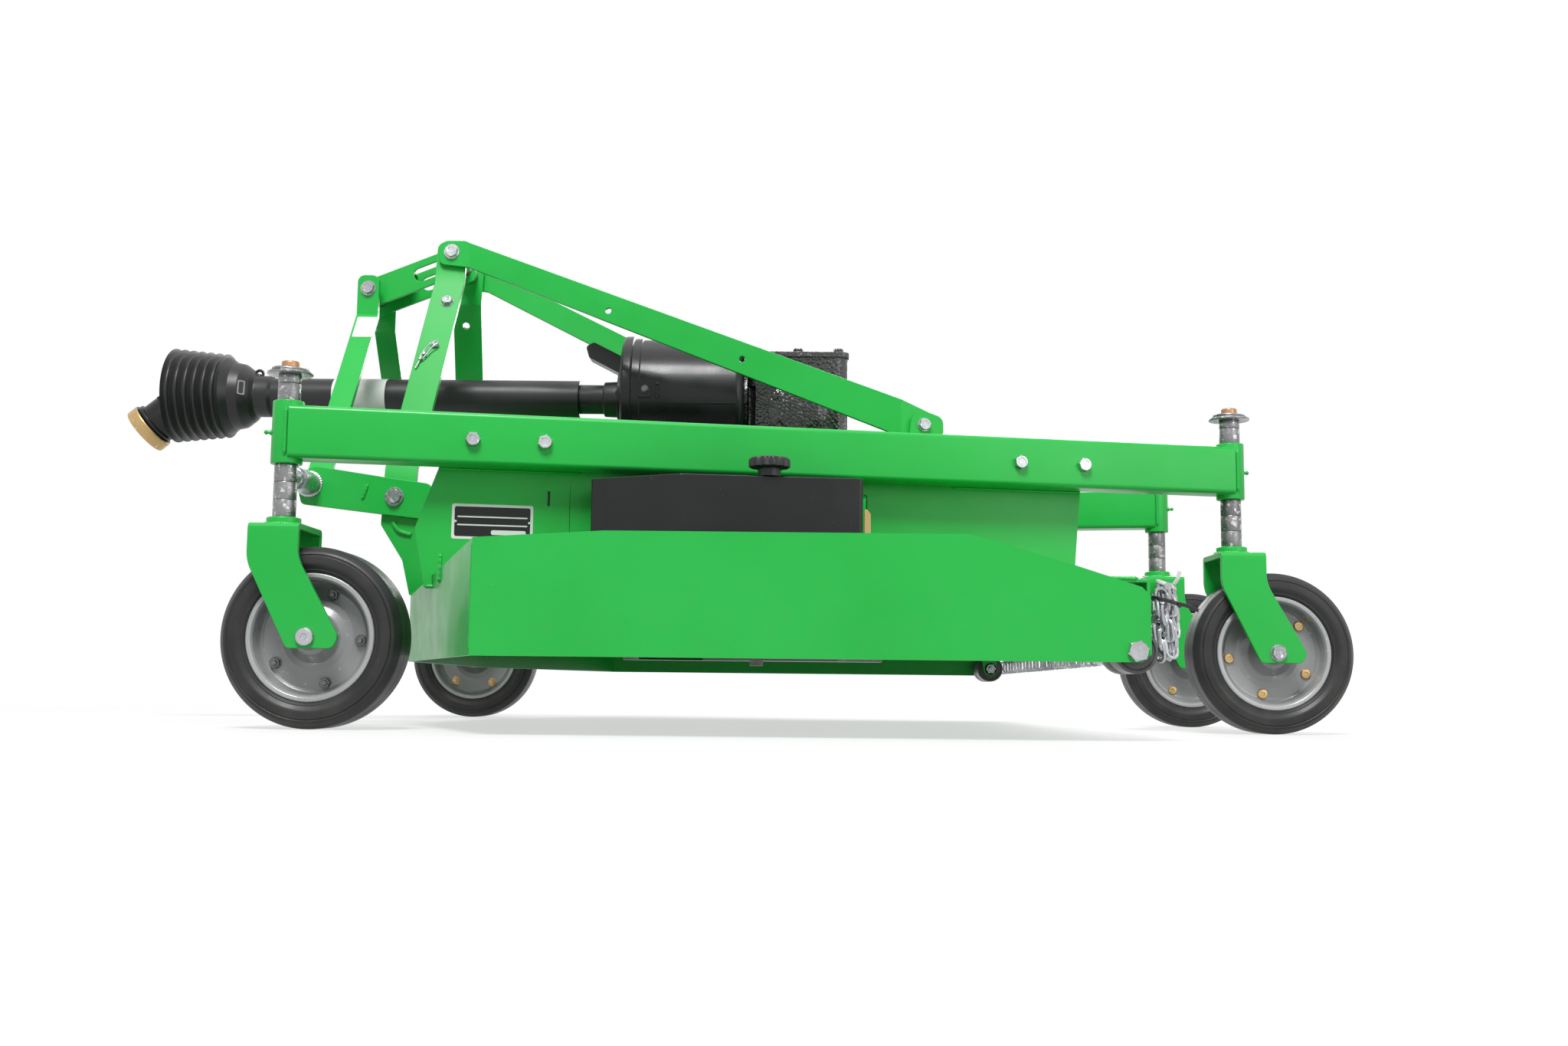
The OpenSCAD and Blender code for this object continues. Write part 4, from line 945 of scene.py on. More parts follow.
@dataclass
class Deck:
    """Deck plate with its walls, side panels, spindle housings, corner rollers and blank type plate."""

    chassis: Chassis
    half_w: float = 787
    deck_top: float = 205
    bottom: float = 100
    nose_x: float = -118
    nose_half: float = 288
    bend_x: float = -317
    rear: float = -1177
    roller_x: float = -1160
    roller_z: float = 114
    roller_r: float = 28
    roller_len: float = 96
    axle_r: float = 8
    panel_v: float = 25.5

    def type_plate(self) -> list[Shape]:
        """Blank plate on the left side panel: a dark field in a pale border, with two rivets."""
        def sheet(u0: float, u1: float, z0: float, z1: float, deep: float, finish: int) -> Shape:
            """Thin rounded sheet on the panel's outer face."""
            flat = rounded([[u0, z0, 3], [u1, z0, 3], [u1, z1, 3], [u0, z1, 3]], 3)
            grid = np.stack([np.column_stack([flat[:, 0], np.full(len(flat), self.panel_v - d), flat[:, 1]])
                             for d in (-0.5, deep)])
            return skin(self.chassis.along_beam(grid).reshape(grid.shape), finish)
        made = [sheet(233, 351, 277, 329, 0.5, 0), sheet(237, 347, 281, 325, 0.7, 1), sheet(241, 343, 309, 311, 0.9, 0),
                sheet(241, 343, 297, 299, 0.9, 0), sheet(290, 341, 284, 291, 0.9, 0)]
        for u in (238.5, 345.5):
            seat = self.chassis.along_beam([[u, self.panel_v - 0.7, 303]])[0]
            made += ButtonHead(1.8, 1.0).shapes(seat, self.chassis.beam_direction(0, -1), 0)
        return made

    def flap(self) -> Shape:
        """Upright strip that carries the side panel on to the front of the belt cover."""
        u0, u1, low, high = 405.1, 457, self.deck_top - 0.5, 366
        flat = rounded([[u0, low, 0], [u1, low, 0], [u1, high, 4], [u0, high, 0]], 4)
        grid = np.stack([np.column_stack([flat[:, 0], np.full(len(flat), v), flat[:, 1]])
                         for v in (self.panel_v + 0.1, self.panel_v + 4.9)])
        return skin(self.chassis.along_beam(grid).reshape(grid.shape))

    def seams(self, side: int) -> list[Shape]:
        """Weld beads where the walls meet the deck and where the panel stands on it."""
        top = self.deck_top
        made = [weld([[self.nose_x - 2, y, top + 1] for y in (0, self.nose_half - 4)], 2.6, Z),
                weld([[self.bend_x, self.half_w - 5, z] for z in (self.bottom + 4, 246)], 2.8, X),
                weld([[x, self.half_w - 5, top + 1] for x in (self.bend_x - 10, self.rear + 14)], 2.6, Z)]
        for y in (441, 556):
            x = self.nose_x + 1 + (self.nose_half - y) * (self.nose_x - self.bend_x) / (self.half_w - self.nose_half)
            made.append(weld([[x, y, z] for z in (206, 250)], 3.4, X, 0, 9))
        panel = self.panel_v - 1
        for u0, u1 in ((197, 404), (863, 1199)):
            line = self.chassis.along_beam([[u, panel, top + 1] for u in np.linspace(u0, u1, 4)])
            made.append(weld(line, 2.8, Z))
        for u0, u1 in ((214, 420), (620, 760), (1000, 1212)):
            line = self.chassis.along_beam([[u, panel, self.chassis.beam_z - 1] for u in (u0, u1)])
            made.append(weld(line, 2.4, Z))
        return [s.mirrored(side) for s in made]

    def rollers(self, shop: Workshop) -> None:
        """Corner rollers with rounded ends, moulding grooves and a raised hub."""
        start = self.half_w - 9
        r, length, bore = self.roller_r, self.roller_len, self.axle_r + 0.4
        profile = rounded([[bore, 0, 0], [bore + 5, 0, 1], [bore + 6, 2, 1], [r - 5, 2, 1], [r - 4, 0, 1], [r, 0.5, 4],
                           [r, length / 2 - 1, 0], [r - 0.6, length / 2, 0], [r, length / 2 + 1, 0],
                           [r, length - 0.5, 4], [r - 4, length, 1], [r - 5, length - 2, 1],
                           [bore + 6, length - 2, 1], [bore + 5, length, 1], [bore, length, 0]], 4)
        for name, side in SIDES:
            body = turned(profile, 64, 0, True).set_on((self.roller_x, start, self.roller_z), (0, -1, 0))
            shop.add(f"roller_{name}_body", [body.mirrored(side)], [Finish.ROLLER], f"roller_{name}",
                     [f"roller_{name}"])

    def build(self, shop: Workshop) -> None:
        """Builds the deck and what is fixed to it."""
        for node in ("deck_top", "front_wall"):
            shop.soften(node, "root", Finish.GREEN, 0.8)

        def roller_bolt(middles: Array) -> Array:
            """Faces of the bolt through the roller."""
            around = np.hypot(middles[:, 0] - self.roller_x, middles[:, 2] - self.roller_z)
            wall = self.half_w - 4 - self.roller_len - 10
            flat = (np.abs(np.abs(middles[:, 1]) - wall) < 4.2) | (np.abs(np.abs(middles[:, 1]) - self.half_w + 2) < 2.1)
            return (around < 12.2) & ~flat

        for name, side in SIDES:
            shop.soften(f"skirt_{name}", "root", Finish.GREEN, 0.0, Finish.ZINC, roller_bolt)
            shop.soften(f"side_panel_{name}", "root", Finish.GREEN, 1.0)
            shop.add(f"deck_seams_{name}", self.seams(side), [Finish.GREEN])
            shop.add(f"panel_flap_{name}", [self.flap().mirrored(side)], [Finish.GREEN], bevel=0.8)
            # Black card behind the side panel's slot: painted shade standing in for the dark space seen through the
            # slot.
            pad = self.chassis.along_beam([[u, v, z] for v in (self.panel_v + 4.8, self.panel_v + 6.5)
                                           for u, z in ((368, 326), (379, 326), (379, 356), (368, 356))])
            shop.add(f"slot_pad_{name}", [skin(pad.reshape(2, 4, 3)).mirrored(side)], [Finish.BLACK], bevel=0.3)
            bolts = HexBolt(24.5, 6.6).shapes((self.roller_x, self.half_w, self.roller_z), Y, 0, 14)
            inner = self.half_w - self.roller_len - 16
            bolts += HexBolt(19, 6, 13, 2.0, stud=4).shapes((self.roller_x, inner, self.roller_z), -Y)
            shop.add(f"deck_bolts_{name}", [s.mirrored(side) for s in bolts], [Finish.ZINC])
        shop.add("type_plate", self.type_plate(), [Finish.STICKER, Finish.BLACK])
        shop.soften("spindle_housings", "root", Finish.CAST, 0.8)
        self.rollers(shop)


@dataclass
class Hitch:
    """Mast, braces, brackets, swinging front frame and top link."""

    pivot: tuple[float, float] = (-91, 360)
    top_pin: tuple[float, float] = (32, 761)
    mast_bolt: tuple[float, float] = (-119, 822)
    arm_y: float = 301.5
    bracket_y: float = 290.5
    strap_t: float = 10
    brace_t: float = 8
    mast_top_y: float = 75
    leg_top_y: float = 60
    pin_x: float = 45
    pin_z: float = 379
    sleeve_r: float = 18.25
    deck_top: float = 205
    link_half: float = 34

    def bracket(self, name: str, side: int, shop: Workshop) -> None:
        """Bracket plate on the deck's nose, with its welds and the pivot bolt."""
        px, pz = self.pivot
        rows = [[-70, pz + 18, 10], [-153, pz + 18, 12], [-153, self.deck_top, 0], [-117, self.deck_top, 0],
                [-104, 260, 10], [-68, 316, 8]]
        y = self.bracket_y
        plate = side_plate(rounded(rows, 8), y, self.strap_t)
        shop.add(f"hitch_bracket_{name}_body", [plate.mirrored(side)], [Finish.GREEN],
                 replaces=[f"hitch_bracket_{name}"], bevel=1.0)
        beads = [weld([[-119, y + s * 6, self.deck_top + 1], [-152, y + s * 6, self.deck_top + 1]], 3.2, Z)
                 for s in (-1, 1)]
        rod = smooth_path([[-88, y + 6, 320], [-93, y + 7, 312], [-101, y + 7, 305], [-117, y + 6, 300.5]], 6)
        beads.append(carried(rod, circle(3.4, 10), Y))
        shop.add(f"bracket_welds_{name}", [s.mirrored(side) for s in beads], [Finish.GREEN])
        outer = self.arm_y + self.strap_t / 2 + 0.3
        inner = y - 1.5 * self.strap_t - 1
        bolt = [turned([[9.5, inner - 1], [9.5, outer + 1]], 32).set_on((px, 0, pz), Y)]
        bolt += HexBolt(22, 6.5, 15, 2.2).shapes((px, outer, pz), Y, 0, 8)
        bolt += HexBolt(22, 7, 15, 2.0).shapes((px, inner, pz), -Y)
        shop.add(f"pivot_bolt_{name}", [s.mirrored(side) for s in bolt], [Finish.ZINC])

    def through_bolt(self, place: tuple[float, float], reach: float, head: float) -> list[Shape]:
        """Bolt across the hitch with a washer and head on the left and a nut on the right."""
        x, z = place
        shaft = turned([[9.5, -reach - 1], [9.5, reach + 1]], 32).set_on((x, 0, z), Y)
        left = HexBolt(20, head - 2, 13.5, 1.6).shapes((x, reach, z), Y, 0, 20)
        right = HexBolt(20, head - 2, 13.5, 1.6).shapes((x, -reach, z), -Y, 0, 5)
        return [shaft, *left, *right]

    def pins(self, name: str, side: int, shop: Workshop) -> None:
        """Lower hitch pin with its collar, sleeve, drilled end and lynch pin."""
        face = self.arm_y + self.strap_t / 2
        r = self.sleeve_r
        profile = [[r + 1, 0], [r + 1, 3], [r, 4], [r, 6], [r, 62.6], [r - 1.4, 64], [11, 64], [11, 86.5], [9.5, 88]]
        pin = turned(profile, 48).set_on((self.pin_x, face, self.pin_z), Y)
        bead = ring_weld((self.pin_x, face + 0.5, self.pin_z), Y, r + 1, 2.2)
        at = (self.pin_x, face + 76, self.pin_z)
        lynch = turned([[4.2, -17], [5, -15], [5, 13], [7, 14], [7, 18], [5.5, 19.5]], 24, 1).set_on(at, Z)
        angle = np.linspace(-0.45 * np.pi, 1.45 * np.pi, 28)
        hoop = np.stack([15 * np.cos(angle), 0 * angle, 15 * np.sin(angle)], -1) + np.array(at) + (0, 6.5, -1)
        wire = carried(hoop, circle(1.7, 8), Y, 1)
        shop.add(f"hitch_pin_{name}_body", [s.mirrored(side) for s in (pin, bead, lynch, wire)],
                 [Finish.ZINC, Finish.ZINC], "hitch_frame", [f"hitch_pin_{name}"])

    def on_mast(self, x: float, z: float, lift: float) -> Array:
        """Point on the left mast bar's outer face at x and z, lifted along its normal."""
        lean = (280.5 - self.mast_top_y) / (768 - 408)
        normal = np.array([0, 1, lean]) / math.hypot(1, lean)
        return np.array([x, self.mast_top_y + (768 - z) * lean, z]) + normal * self.strap_t / 2 * (1, 1, 0) \
            + (0, 0.5 * self.strap_t * (math.hypot(1, lean) - 1 / math.hypot(1, lean)), 0) + normal * lift

    def mast_trim(self) -> list[Shape]:
        """Bolt, clip pin and its wire on the left mast bar: the wire is a loop with two crimps and a free end."""
        out = self.on_mast(0, 0, 1) - self.on_mast(0, 0, 0)
        x, z = -111.0, 638.6
        made = HexBolt(17, 7, 11, 1.6).shapes(self.on_mast(-118, 727, 0), out, 0, 12)
        made += ButtonHead(7, 6).shapes(self.on_mast(x, z, 0), out)
        loop = smooth_path([self.on_mast(x + a, z + b, d) for a, b, d in
                            ((-4, 3, 8), (6, -4, 9), (14, -14, 7), (19, -25, 5), (16, -30, 5), (10, -22, 6),
                             (2, -10, 8), (-6, -3, 9))], 7, True)
        made.append(carried(loop, circle(1.2, 6), out, 0, True))
        tail = smooth_path([self.on_mast(x + a, z + b, d) for a, b, d in
                            ((17, -26, 5), (20, -33, 4), (22, -40, 4), (25, -47, 3))])
        made.append(carried(tail, circle(1.3, 6), out, 0))
        for a, b in ((14, -20), (19, -30)):
            at = self.on_mast(x + a, z + b, 5.5)
            made.append(turned([[1.8, -3], [2.8, -2], [2.8, 2], [1.8, 3]], 12).set_on(at, (0.5, 0.3, -0.8)))
        return made

    def leg_plate(self) -> Shape:
        """Blank pale sticker on the left front leg, which leans in from its foot to its top."""
        foot = np.array([self.arm_y - self.strap_t, self.pin_z + 24])
        top = np.array([self.leg_top_y, 712.0])
        lean = (top - foot) / np.linalg.norm(top - foot)
        out = np.array([lean[1], -lean[0]])
        flat = rounded([[9, 0, 2], [47, 0, 2], [47, 54, 2], [9, 54, 2]], 3)
        start = top - lean * 63 + out * self.strap_t / 2
        grid = np.stack([np.column_stack([flat[:, 0], start[0] + flat[:, 1] * lean[0] + d * out[0],
                                          start[1] + flat[:, 1] * lean[1] + d * out[1]]) for d in (-0.3, 0.4)])
        return skin(grid)

    def build(self, shop: Workshop) -> None:
        """Builds the hitch."""
        for name, side in SIDES:
            self.bracket(name, side, shop)
            self.pins(name, side, shop)
            normal = self.on_mast(0, 0, 1) - self.on_mast(0, 0, 0)
            places = [(-141, 587, 5.5), (-110, 736, 6.5)] if side < 0 else [(-141, 587, 6.5)]
            holes = [turned([[r, -20], [r, 20]], 28).set_on(self.on_mast(x, z, 0), normal).mirrored(side)
                     for x, z, r in places]
            shop.soften(f"mast_{name}", "root", Finish.GREEN, 1.0, holes=holes)
            shop.soften(f"brace_{name}", "root", Finish.GREEN, 1.0)
            shop.soften(f"hitch_arm_{name}", "hitch_frame", Finish.GREEN, 1.0)
            leg = self.arm_y - self.strap_t - 5
            face = self.arm_y + self.strap_t / 2
            bead = [weld([[x, leg, self.pin_z + 20] for x in (14, 50)], 3.0, Z),
                    weld([[-48, face, 381], [-39.5, face, 353]], 3.0, X, 0, 7)]
            shop.add(f"arm_welds_{name}", [s.mirrored(side) for s in bead], [Finish.GREEN], "hitch_frame")
        reach = self.mast_top_y + self.strap_t / 2 + self.brace_t
        bolt = self.through_bolt(self.mast_bolt, reach, 8)
        x, z = self.mast_bolt
        for s in (-1, 1):
            ends = sorted((s * (self.link_half + 6), s * (self.mast_top_y - self.strap_t / 2)))
            bolt.append(turned(rounded([[9.7, ends[0], 0], [15, ends[0], 1], [15, ends[1], 1], [9.7, ends[1], 0]], 2),
                               40, 0, True).set_on((x, 0, z), Y))
        shop.add("mast_bolt_body", bolt, [Finish.ZINC], replaces=["mast_bolt"])
        shop.add("top_link_pin_body", self.through_bolt(self.top_pin, self.leg_top_y + self.strap_t / 2, 8),
                 [Finish.ZINC], "hitch_frame", ["top_link_pin"])
        shop.soften("top_link", "top_link", Finish.GREEN, 0.8)
        shop.add("leg_sticker", [self.leg_plate()], [Finish.STICKER], "hitch_frame")
        shop.add("mast_trim", self.mast_trim(), [Finish.ZINC])


@dataclass
class Driveline:
    """Telescoping guard tubes, ribbed bell, joint and yoke."""

    axis_z: float = 577
    joint_x: float = 361
    mouth: float = 385
    back: float = 293
    dome: float = 239
    neck: float = 209
    bell_r: float = 84
    tube_r: float = 33
    inner_r: float = 26
    ribs: int = 6
    droop: float = 39.5
    yoke_len: float = 106
    collar_w: float = 22
    bore_r: float = 17.5

    def on_axis(self, shape: Shape) -> Shape:
        """Lays a shape turned round z along the driveline, its heights counted along x."""
        points = shape.points[:, [2, 0, 1]] + (0, 0, self.axis_z)
        return Shape(points, shape.faces, shape.finish)

    def bell(self) -> Shape:
        """Outer tube, neck, dome and ribbed bell: the radius falls by 8 mm * |sin(pi n)| after n ribs."""
        share = np.linspace(0, 1, self.ribs * 10 + 1)
        outer = self.bell_r - 9 + 9 * share - 8 * np.abs(np.sin(np.pi * self.ribs * share))
        ribs = np.column_stack([outer, self.back + (self.mouth - self.back) * share])
        inner = np.column_stack([outer[::-1] - 3, ribs[::-1, 1]])
        skirt_in = [[53, self.dome + 28], [41, self.dome + 16], [self.tube_r, self.dome + 5], [self.tube_r - 3, self.dome]]
        shoulder = rounded([[self.tube_r + 4, self.neck, 1], [self.tube_r + 4, self.dome, 3], [45, self.dome + 6, 5],
                            [57, self.dome + 22, 10], [62, self.back - 8, 6], [66, self.back - 5, 2]], 4)[4:-4]
        tube = [[self.tube_r - 3, -310], [self.inner_r + 0.4, -310], [self.inner_r + 0.4, -340], [self.tube_r - 1, -340],
                [self.tube_r, -339], [self.tube_r, -330], [self.tube_r, self.neck]]
        rows = np.concatenate([tube, shoulder, ribs, inner, skirt_in])
        return self.on_axis(turned(rows, 96, 0, True))

    def cross(self) -> list[Shape]:
        """Joint's inner yoke, its cross and the shaft behind it."""
        x, z = self.joint_x, self.axis_z
        made = [self.on_axis(turned([[15, self.neck + 6], [15, x - 34], [13, x - 32]], 32, 1)),
                self.on_axis(turned(rounded([[12, x - 42, 0], [30, x - 42, 2], [30, x - 26, 2], [12, x - 26, 0]], 3),
                                    40, 1, True))]
        ear = rounded([[-34, -15, 2], [14, -15, 14], [14, 15, 14], [-34, 15, 2]], 6)
        for s in (-1, 1):
            made.append(slab(ear, 18, 30, 1).moved((x, 0, z)) if s > 0 else slab(ear, -30, -18, 1).moved((x, 0, z)))
        cap = rounded([[0.5, -33.5, 0], [8, -33.5, 1.5], [8, 33.5, 1.5], [0.5, 33.5, 0]], 3)
        made.append(turned(cap, 32, 2).set_on((x, 0, z), Y))
        made.append(turned(cap * (1, 0.89), 32, 2).set_on((x, 0, z), Z))
        made.append(turned([[4, -14], [11, -11], [14.5, -5], [15, 0], [14.5, 5], [11, 11], [4, 14]], 32, 2)
                    .set_on((x, 0, z), X))
        return made

    def tube_patch(self, x0: float, x1: float, low: float, high: float, lift: float) -> Shape:
        """Thin sheet wrapped on the outer tube between two places and two angles seen from the left."""
        angle = np.radians(np.linspace(low, high, 14))
        arc = np.concatenate([(self.tube_r + r) * np.stack([np.cos(a), np.sin(a)], -1)
                              for r, a in ((-0.2, angle), (lift, angle[::-1]))])
        grid = np.stack([np.column_stack([np.full(len(arc), x), arc[:, 0], arc[:, 1] + self.axis_z])
                         for x in (x0, x1)])
        return skin(grid)

    def yoke_axis(self) -> Array:
        """Direction of the yoke, which hangs down from the driveline."""
        angle = math.radians(self.droop)
        return np.array([math.cos(angle), 0, -math.sin(angle)])

    def build(self, shop: Workshop) -> None:
        """Builds the driveline from the tractor side to the gearbox side."""
        window: list[Shape] = []
        for half_h, half_w, lift, number in ((13, 6.5, 1.2, 1), (10.5, 4, 1.6, 0)):
            frame_ring = rounded([[-half_h, -half_w, 2], [half_h, -half_w, 2], [half_h, half_w, 2], [-half_h, half_w, 2]], 3)
            window.append(slab(frame_ring, -5, lift, number).set_on((254, 52.4, self.axis_z + 6), (-0.6, 0.79, 0.08)))
        angle = np.linspace(-0.15 * np.pi, 1.15 * np.pi, 24)
        hoop = np.stack([240 + 6.5 * np.cos(angle), 0 * angle, self.axis_z + self.tube_r + 8 + 6.5 * np.sin(angle)], -1)
        shop.add("driveline_guard_body", [self.bell(), *window, *self.cross()],
                 [Finish.PLASTIC, Finish.STEEL, Finish.ZINC], "driveline_front", ["driveline_guard"])
        shop.add("guard_hoop", [carried(hoop, circle(2.6, 10), Y), turned([[5, 0], [4.4, 3], [3, 4.5]], 24).set_on(
            (240, 0, self.axis_z + self.tube_r + 3), Z)], [Finish.PLASTIC], "driveline_front")
        shop.add("tube_stickers", [self.tube_patch(5, 100, -60, 88, 0.35)], [Finish.STICKER], "driveline_front")
        axis = self.yoke_axis()
        joint = np.array([self.joint_x, 0, self.axis_z])

        def collar(middles: Array) -> Array:
            """Faces of the locking collar, without the bore."""
            arm = middles - joint
            far = arm @ axis
            around = np.linalg.norm(arm - far[:, None] * axis, axis=1)
            return (far > self.yoke_len - self.collar_w + 0.5) & (around > self.bore_r + 1)

        shop.soften("driveline_yoke", "driveline_yoke", Finish.BLACK, 0.9, Finish.GOLD, collar)
        splines = [slab(rounded([[-2.4, self.bore_r - 3.4, 0.8], [2.4, self.bore_r - 3.4, 0.8],
                                 [3, self.bore_r + 1, 0], [-3, self.bore_r + 1, 0]], 2),
                        self.yoke_len - 50, self.yoke_len - 3).set_on(joint, axis, 60 * k) for k in range(6)]
        shop.add("yoke_splines", splines, [Finish.STEEL], "driveline_yoke")
        band = turned(rounded([[33, 77, 0], [38.5, 77, 1.5], [38.5, 83.5, 1.5], [33, 83.5, 0]], 3), 56, 0, True)
        shop.add("yoke_ring", [band.set_on(joint, axis)], [Finish.BLACK], "driveline_yoke")
        r = self.inner_r
        rows = rounded([[18.2, -433, 0], [r + 13, -433, 2], [r + 6, -408, 3], [r + 5, -384, 2], [r, -383, 1],
                        [r, -121, 1], [3, -121, 0], [3, -375, 0], [18.2, -375, 0]], 4)
        screw = ButtonHead(4.5, 2).shapes((-410, 32, self.axis_z + 8), (0.2, 0.96, 0.25))
        shop.add("driveline_inner_body", [self.on_axis(turned(rows, 64, 0, True)), *screw], [Finish.PLASTIC],
                 replaces=["driveline_inner"])


@dataclass
class Gearbox:
    """Cast gearbox on its stand, with the round guard over its input shaft."""

    axis_z: float = 577
    box_front: float = -642
    box_back: float = -818
    half: float = 84
    low: float = 448
    high: float = 640
    guard_r: float = 107
    guard_x: tuple[float, float, float] = (-418, -438, -636)

    def guard(self) -> list[Shape]:
        """Round can: a rolled flange at its mouth, a straight wall and a dished back."""
        x0, x1, x2 = self.guard_x
        r = self.guard_r
        rows = rounded([[46, x0 + 8, 1], [50, x0 + 8, 1], [50, x0, 2], [r + 1, x0 - 3, 4], [r + 6, x0 - 7, 3],
                        [r + 6, x1 - 1, 2], [r + 2, x1 - 3, 1], [r + 2, x1 - 16, 1], [r, x1 - 18, 1],
                        [r - 1, x2, 15], [58.4, x2, 0], [58.4, x2 + 4, 0],
                        [r - 8, x2 + 4, 4], [r - 4, x1, 3], [r - 4, x1 + 8, 2], [46, x0 - 6, 1]], 5)
        can = turned(rows, 96, 0, True)
        can = Shape(can.points[:, [2, 0, 1]] + (0, 0, self.axis_z), can.faces)
        tab = side_plate(rounded([[-422, 616, 2], [-424, 648, 4], [-364, 678, 8], [-350, 670, 6], [-356, 650, 4]], 4),
                         0, 38)
        latch = side_plate(rounded([[-454, 562, 3], [-454, 590, 3], [-477, 590, 3], [-477, 562, 3]], 3), r + 0.5, 5)
        angle = np.linspace(0, 2 * np.pi, 32, endpoint=False)
        oval = np.stack([-486.5 + 3.2 * np.cos(angle), np.full(32, r + 0.8),
                         574 + 9 * np.clip(np.sin(angle) * 9, -1, 1) + 3.2 * np.sin(angle)], -1)
        slot = carried(oval, circle(1.2, 8), Y, 0, True)
        low = math.radians(-12.6)
        seam = carried(np.array([[x, (r - 0.2) * math.cos(low), self.axis_z + (r - 0.2) * math.sin(low)]
                                 for x in np.linspace(x1 - 22, x2 + 14, 12)]), circle(1.1, 6), Y)
        lump = slab(rounded([[-627, -44, 3], [-600, -44, 3], [-600, -12, 3], [-627, -12, 3]], 3), 676, 688)
        return [can, tab, latch, slot, seam, lump]

    def details(self) -> list[Shape]:
        """Side covers with their screws, cooling ribs, bolts on the top and the filler cap on the casting."""
        middle = (self.box_front + self.box_back) / 2
        made: list[Shape] = []
        for s in (-1, 1):
            out = np.array([0.0, s, 0.0])
            cover = turned(rounded([[4, 0, 0], [52, 0, 0], [52, 5, 2], [40, 6.5, 2], [36, 9, 3], [4, 9, 0]], 3)[1:], 56)
            made.append(cover.set_on((middle, s * (self.half - 1), self.axis_z - 30), out))
            for k in range(6):
                angle = math.radians(60 * k + 30)
                seat = (middle + 45 * math.cos(angle), s * (self.half + 4), self.axis_z - 30 + 45 * math.sin(angle))
                made += HexBolt(10, 4).shapes(seat, out, 0, 13 * k)
            for x in (-66, -33, 33, 66):
                rib = side_plate(rounded([[middle + x - 3, self.low + 4, 2], [middle + x + 3, self.low + 4, 2],
                                          [middle + x + 3, self.low + 40, 2], [middle + x - 3, self.low + 40, 2]], 2),
                                 s * (self.half + 3), 8)
                made.append(rib)
        for x in (-70.4, 0, 70.4):
            for y in (-74, 74):
                made += HexBolt(15, 5.4, 9).shapes((middle + x, y, self.high + 9.5), Z, 0, x)
        cap = lobed(np.stack([9 + 0.6 * np.cos(12 * np.linspace(0, 2 * np.pi, 96, endpoint=False))] * 2), np.array([0, 8]))
        made.append(cap.set_on((self.box_front - 24, 40, self.high + 10), Z))
        made.append(turned([[6, 0], [6, 12], [4.5, 14]], 28).set_on((self.box_front - 24, 40, self.high + 8), Z))
        return made

    def build(self, shop: Workshop) -> None:
        """Builds the gearbox, its stand and its guard."""
        def shafts(middles: Array) -> Array:
            """Faces of the input shaft and of the drive pulley under the stand."""
            around = np.hypot(middles[:, 1], middles[:, 2] - self.axis_z)
            return ((middles[:, 0] > self.box_front + 37) & (around < 19)) | (middles[:, 2] < 439)

        shop.soften("gearbox", "root", Finish.CAST, 1.4, Finish.STEEL, shafts)
        shop.add("gearbox_details", self.details(), [Finish.CAST])
        shop.soften("gearbox_stand", "root", Finish.GREEN, 1.0)
        shop.add("gearbox_guard_body", self.guard(), [Finish.BLACK], replaces=["gearbox_guard"])
        shop.add("guard_screw", HexBolt(10, 4, 6.5).shapes((-465.5, self.guard_r + 3, 576), Y, 0, 9), [Finish.NUT])


@dataclass
class BeltDrive:
    """Belt covers with their knobs, the belt, the spindles and the blades."""

    cover_top: float = 360
    stud: tuple[float, float] = (-690, 575)
    deck_top: float = 205
    knob_r: float = 29
    knob_lobes: int = 14

    def knob(self) -> list[Shape]:
        """Star knob: its radius is 28 + 1.5 cos(14 a), on a narrow neck."""
        angle = np.linspace(0, 2 * np.pi, 96, endpoint=False)
        star = self.knob_r - 1 + 1.5 * np.cos(self.knob_lobes * angle)
        levels = np.array([[0.0, 0.55], [0.3, 0.56], [10.8, 0.56], [11.6, 0.62], [12.2, 0.92], [13.4, 1.0], [23, 1.0],
                           [25.6, 0.96], [27, 0.86], [27.4, 0.62], [26, 0.42], [26, 0.3]])
        blend = np.clip((levels[:, 1:] - 0.5) * 2, 0, 1)
        radii = levels[:, 1:] * (star * blend + self.knob_r * (1 - blend) * 1.0)
        return [lobed(radii, levels[:, 0])]

    def build(self, shop: Workshop) -> None:
        """Builds the covers and what runs under them."""
        x, y = self.stud
        knobs: list[Shape] = []
        for name, side in SIDES:
            shop.soften(f"belt_cover_{name}", "root", Finish.BLACK, 1.6)
            here = [s.moved((x, y, self.cover_top + 0.3)) for s in self.knob()]
            rod = [[5 - 0.35 * (k % 2), self.cover_top - 20 + 0.8 * k] for k in range(28)]
            here.append(turned([[5, self.deck_top], *rod], 24, 1).moved((x, y, 0)))
            here += [Shape(s.points, s.faces, 1) for s in HexBolt(13, 7, 9).shapes((x, y, self.deck_top), Z)]
            knobs += [s.mirrored(side) for s in here]
        shop.add("cover_knobs_body", knobs, [Finish.PLASTIC, Finish.ZINC], replaces=["cover_knobs"])
        shop.dress("belt", Finish.BELT)
        tab = rounded([[-825, self.deck_top - 1, 0], [-834, self.deck_top - 1, 0], [-834, 310, 2], [-829, 317, 4],
                       [-825, 315, 2]], 4)
        tabs = [side_plate(tab, 560, 5).mirrored(side) for _, side in SIDES]
        shop.add("cover_tabs", tabs, [Finish.GOLD], bevel=0.6)
        for name in ("left", "middle", "right"):
            shop.soften(f"spindle_{name}", f"cutter_{name}", Finish.STEEL, 0.7)
            shop.soften(f"blade_{name}", f"cutter_{name}", Finish.STEEL, 0.5)


